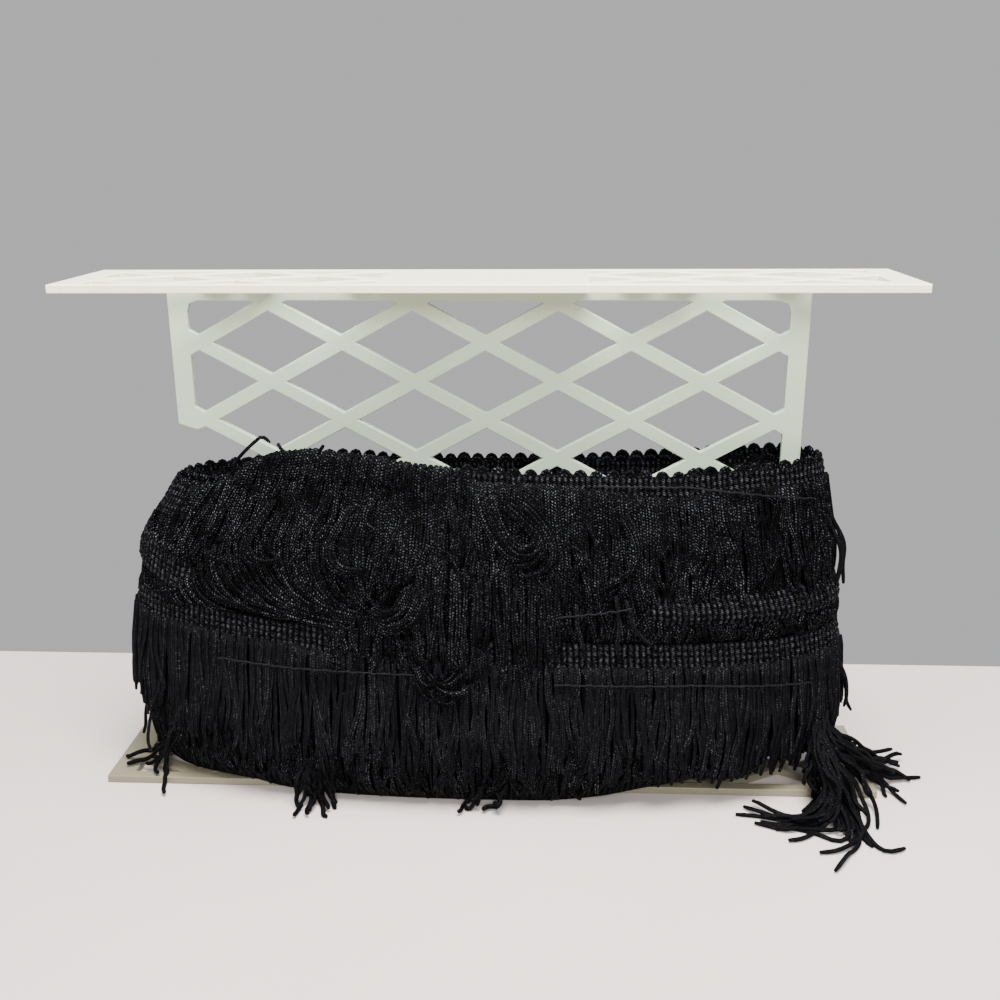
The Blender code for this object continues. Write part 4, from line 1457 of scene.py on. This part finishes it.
# %% Traced strands of the tail
TAIL_PATHS = (
    # points of single strands from the winding to their tips, in millimetres
    [(156.6, -24, 30), (162.7, -21.2, 24), (173.3, -11.1, 14), (185.6, -0.6, 6), (193.9, 7, 4)],
    [(155.2, -26.9, 30), (165.4, -22.4, 22), (179.5, -11.1, 10), (191.7, -1.4, 2), (197.2, 0.7, 1.2)],
    [(156.9, -26.1, 28), (166.5, -24.5, 20), (181.6, -14.7, 8), (193, -12.6, 1.5), (196.6, -15.3, 1.2)],
    [(155.5, -29, 28), (166.5, -25.2, 18), (181, -17.2, 7), (194, -14.3, 1.2), (203.4, -14.2, 1.2)],
    [(155.2, -28.3, 26), (165, -26, 16), (175, -23.2, 8), (181.6, -24.2, 3), (183.2, -31.7, 1.2)],
    [(156.6, -28.3, 26), (167.9, -25.9, 16), (179.7, -22.4, 6), (186.5, -27.7, 1.2), (190.4, -37.1, 1.2)],
    [(153.1, -29.8, 30), (161.2, -27.4, 24), (174.7, -16.7, 14), (189.1, -5.2, 3), (194.3, -7.1, 1.2)],
    [(153.1, -30.5, 28), (161.5, -27.4, 20), (173.2, -23.1, 12), (187.4, -16.4, 3), (194.5, -17.3, 1.2)],
    [(153.1, -31.2, 26), (160.2, -32.9, 20), (169, -31.3, 12), (173.3, -39.1, 4), (171.6, -54.9, 1.2)],
    [(151.8, -34, 26), (158.1, -35.7, 20), (166.2, -36.7, 12), (169, -45.2, 3), (164.7, -61.7, 1.2)],
    [
        (153.1, -31.2, 26), (159.5, -36.3, 18), (164.4, -44.8, 9), (164.6, -59.8, 1.5),
        (168.5, -72.3, 1.2), (179.9, -69, 1.2),
    ],
    [
        (151.8, -34, 26), (156.9, -41.7, 18), (162.1, -49.2, 7), (162.5, -62.9, 1.2), (154.2, -72, 1.2),
        (142.2, -73.4, 1.2),
    ],
    [
        (152.5, -34, 26), (156.6, -43.6, 16), (161.1, -51, 5), (161.3, -66.4, 1.2), (153.5, -77.7, 1.2),
        (144.9, -86.5, 1.2),
    ],
    [(151.1, -34, 26), (154.8, -41.7, 18), (158.1, -48.4, 8), (158.5, -56.1, 2), (157.6, -64.2, 1.2)],
    [
        (149.8, -36.8, 26), (153.5, -44.4, 18), (150.5, -48.7, 8), (140.1, -48.7, 2),
        (128.5, -44.5, 1.2), (119.4, -40.1, 3),
    ],
    [
        (150.5, -36.8, 26), (153.9, -46.2, 16), (148.4, -50.3, 5), (135.6, -50.6, 1.2),
        (122.5, -47.2, 1.2), (115.2, -40.7, 2),
    ],
    [
        (149.4, -36.1, 24), (152.9, -48.1, 14), (144.7, -52.2, 3), (132.5, -52.4, 1.2),
        (120.8, -49.2, 1.2), (111.7, -47.1, 1.2),
    ],
    [
        (150.1, -36.1, 24), (154, -49.9, 12), (147.1, -54.2, 2), (134.1, -58.2, 1.2),
        (125.6, -56.7, 1.2), (118.7, -54.8, 1.2),
    ],
    [(150.2, -38.7, 24), (155.1, -51.6, 10), (149.2, -56.5, 2), (138.4, -63.2, 1.2), (130.1, -66, 1.2)],
    [(150.9, -38.7, 24), (156.4, -52.5, 9), (153.4, -58.7, 2), (143.8, -60.2, 1.2), (134.6, -55.9, 1.2)],
    [
        (150.5, -38, 22), (156.8, -54.2, 7), (157.3, -62.4, 1.5), (151.1, -65.9, 1.2),
        (141.6, -60.7, 1.2), (126.4, -55.7, 1.2),
    ],
    [(147.5, -32.8, 22), (147, -32.8, 14), (149.5, -36.1, 8), (148, -38.5, 3), (142.6, -43.4, 1.2)],
    [(149.3, -33.4, 24), (145.5, -38.1, 14), (148.6, -40.2, 8), (152.6, -40.5, 6)],
    [(151.4, -32, 28), (155.7, -37.1, 20), (159.3, -42.1, 12), (161.8, -48.5, 5)],
    [(152.8, -31.9, 28), (158.5, -37, 20), (163.4, -39.4, 12), (165.7, -46.8, 4)],
    [(150.3, -31.3, 26), (152.6, -39.2, 18), (154.4, -45.8, 11), (155.5, -52.1, 4)],
)
print("traced strands:", len(TAIL_PATHS))


# %% Bunches of strands on the floor
FLOOR_CORD = 0.0021
TIP_CURL = 0.0011
FLANGE_TOP = 0.0035
FLANGE_END, FLANGE_SIDE = 0.1785, 0.0312


def sprayed(table, root, fills, loose, keep):
    """Each traced strand once, and shorter copies near its root that fill the bunch."""
    paths = []
    for points in table:
        points = np.vstack([root, np.array(points) / 1000])
        for copy in range(fills + 1):
            moved = points.copy()
            moved[0] += rng.normal(0, 0.0016, 3)
            if copy:
                moved[1:] += rng.normal(0, loose, (1, 3))
                moved[1:] += rng.normal(0, loose * 0.5, moved[1:].shape)
            line = curve_through(moved, FINE_POINTS)
            if copy:
                line = line[: int(FINE_POINTS * rng.uniform(*keep))]
            line = resampled(line[None], CURVE_POINTS)[0]
            turns = np.linspace(0, rng.uniform(2, 6) * math.pi, CURVE_POINTS)[:, None]
            curl = np.sin(turns + rng.uniform(0, 6, 3))
            line = line + curl * np.linspace(0, TIP_CURL, CURVE_POINTS)[:, None]
            resting = ground(line) + FLOOR_CORD * 0.45 + rng.uniform(0, 0.0003)
            line[:, 2] = np.maximum(line[:, 2], resting)
            paths.append(line)
    return np.array(paths)


def ground(line):
    """Height of what lies below: the flange where it reaches, and the floor elsewhere."""
    on_flange = (np.abs(line[:, 0]) < FLANGE_END) & (np.abs(line[:, 1]) < FLANGE_SIDE)
    return np.where(on_flange, FLANGE_TOP, 0.0)


def spread_out(name, paths, node, facing=(0, -0.4, 1)):
    """Lay a bunch of cords and let it stand for its solids."""
    thick = FLOOR_CORD * rng.uniform(0.9, 1.08, len(paths))
    piece = laid(name, floor_strand, paths, facing, thick, thick * 0.88, tail_yarn)
    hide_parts(node)


TAIL_ROOT = (0.1515, -0.0225, 0.0350)
spread_out("tail_strands", sprayed(TAIL_PATHS, TAIL_ROOT, 3, 0.0022, (0.45, 0.85)), "loose_tail")

# %% [markdown]
# ## Tufts
#
# Short bunches of strands come out under the winding at the left corner and in front. They
# are made as the tail is, from a few followed strands, with one copy beside each.

# %% Tuft at the left
LEFT_ROOT = (-0.1455, -0.0235, 0.0270)
LEFT_PATHS = (
    # points of single strands, in millimetres
    [(-147.3, -22.6, 22), (-155.4, -18.2, 14), (-162.6, -16.8, 9), (-173.9, -14.1, 5)],
    [
        (-147.3, -23.1, 20), (-156.1, -20.6, 12), (-163.7, -20.3, 7), (-166.7, -20.8, 6),
        (-170.4, -22.5, 4.6),
    ],
    [(-146.9, -24.9, 18), (-153.4, -23.1, 10), (-158.4, -21.8, 6), (-162.1, -19.4, 5)],
    [(-155, -22.8, 9), (-155.8, -25.2, 5), (-154, -31.1, 4.5)],
    [(-149.3, -25.9, 14), (-151.5, -25.8, 7), (-150, -30, 1.2), (-148.1, -40.9, 1.2)],
    [(-148.7, -21.3, 22), (-156.9, -15.3, 16), (-159.1, -14.6, 14)],
    [(-147.8, -21.8, 20), (-152.8, -20.8, 14), (-156.1, -21.5, 9), (-159.3, -22.6, 8)],
)
spread_out("left_tuft_strands", sprayed(LEFT_PATHS, LEFT_ROOT, 1, 0.0012, (0.4, 0.75)), "left_tuft")

# %% Tufts in front
FRONT_PATHS = (
    # points of single strands, in millimetres
    [(-80.9, -43.4, 14), (-83.7, -44.9, 6), (-84.1, -49, 1.2), (-82.5, -56.2, 1.2)],
    [(-80, -43.4, 14), (-81.6, -45.6, 5), (-81.2, -51.6, 1.2)],
    [(-78.6, -43.3, 14), (-78.9, -46.2, 4), (-77.6, -56, 1.2)],
    [(-76.7, -44, 13), (-76.9, -46.2, 4), (-76.6, -53.7, 1.2)],
    [(-74.3, -43.9, 13), (-74.2, -44.9, 4), (-72.5, -50.8, 1.2), (-68.4, -57.4, 1.2)],
    [(-72.9, -43.1, 14), (-72.8, -44.1, 5), (-70.1, -51.2, 1.2)],
    [(-70.4, -43.4, 15), (-70.1, -44.4, 6), (-67.3, -47.9, 1.2), (-65.5, -50.6, 1.2)],
    [(-68.6, -44.6, 15), (-68.1, -44.3, 6), (-67.6, -46.1, 1.2)],
    [(-4.8, -47.3, 8), (-8.9, -46.2, 2), (-11.9, -51.8, 1.2)],
    [(-3.5, -48, 7), (-6.2, -47.2, 2), (-7.8, -48.8, 1.2)],
    [(7.4, -48.3, 6), (3.8, -47.3, 2), (0.8, -50.2, 1.2)],
)

UNDER = (0, 0.002, 0.006)
front_paths = []
for points in FRONT_PATHS:
    front_root = np.array(points[0]) / 1000 + UNDER
    front_paths.extend(sprayed([points], front_root, 1, 0.0010, (0.5, 0.8)))
spread_out("front_tuft_strands", np.array(front_paths), "front_tuft", (0, -1, 0.3))

# %% [markdown]
# ## Loose ends
#
# A few single strands have sprung out of the rim at the upper left, out of the right end
# and out of the left corner. They are smooth curves through three to five points each.

# %% Loose ends
LOOSE_ENDS = (
    # points of single strands, in metres
    [
        (-0.1085, -0.024, 0.1530), (-0.1030, -0.026, 0.1592), (-0.0960, -0.026, 0.1655),
        (-0.0935, -0.026, 0.1664), (-0.0912, -0.025, 0.1638),
    ],
    [(-0.0835, -0.027, 0.1590), (-0.0860, -0.027, 0.1615), (-0.0874, -0.027, 0.1640)],
    [(-0.0740, -0.028, 0.1580), (-0.0699, -0.028, 0.1605), (-0.0674, -0.028, 0.1635)],
    [(0.1490, -0.010, 0.134), (0.1570, -0.009, 0.118), (0.1585, -0.008, 0.104), (0.1570, -0.008, 0.094)],
    [(0.1495, -0.008, 0.132), (0.1590, -0.007, 0.116), (0.1600, -0.006, 0.104), (0.1610, -0.006, 0.095)],
    [(0.1490, -0.012, 0.130), (0.1565, -0.012, 0.114), (0.1570, -0.011, 0.102), (0.1560, -0.011, 0.097)],
    [(0.1590, -0.012, 0.062), (0.1640, -0.012, 0.052), (0.1655, -0.012, 0.043), (0.1650, -0.011, 0.036)],
    [(0.1590, -0.010, 0.058), (0.1650, -0.009, 0.047), (0.1665, -0.009, 0.038), (0.1690, -0.009, 0.033)],
    [
        (-0.1605, -0.014, 0.038), (-0.1625, -0.015, 0.030), (-0.1635, -0.015, 0.022),
        (-0.1645, -0.016, 0.018),
    ],
    [
        (-0.1560, -0.022, 0.036), (-0.1580, -0.024, 0.027), (-0.1590, -0.025, 0.019),
        (-0.1570, -0.027, 0.014),
    ],
)
laid(
    "loose_ends",
    long_strand,
    np.array([curve_through(points) for points in LOOSE_ENDS]),
    (0.3, -1.0, 0.1),
    0.0017,
    0.0015,
    smooth_yarn,
)
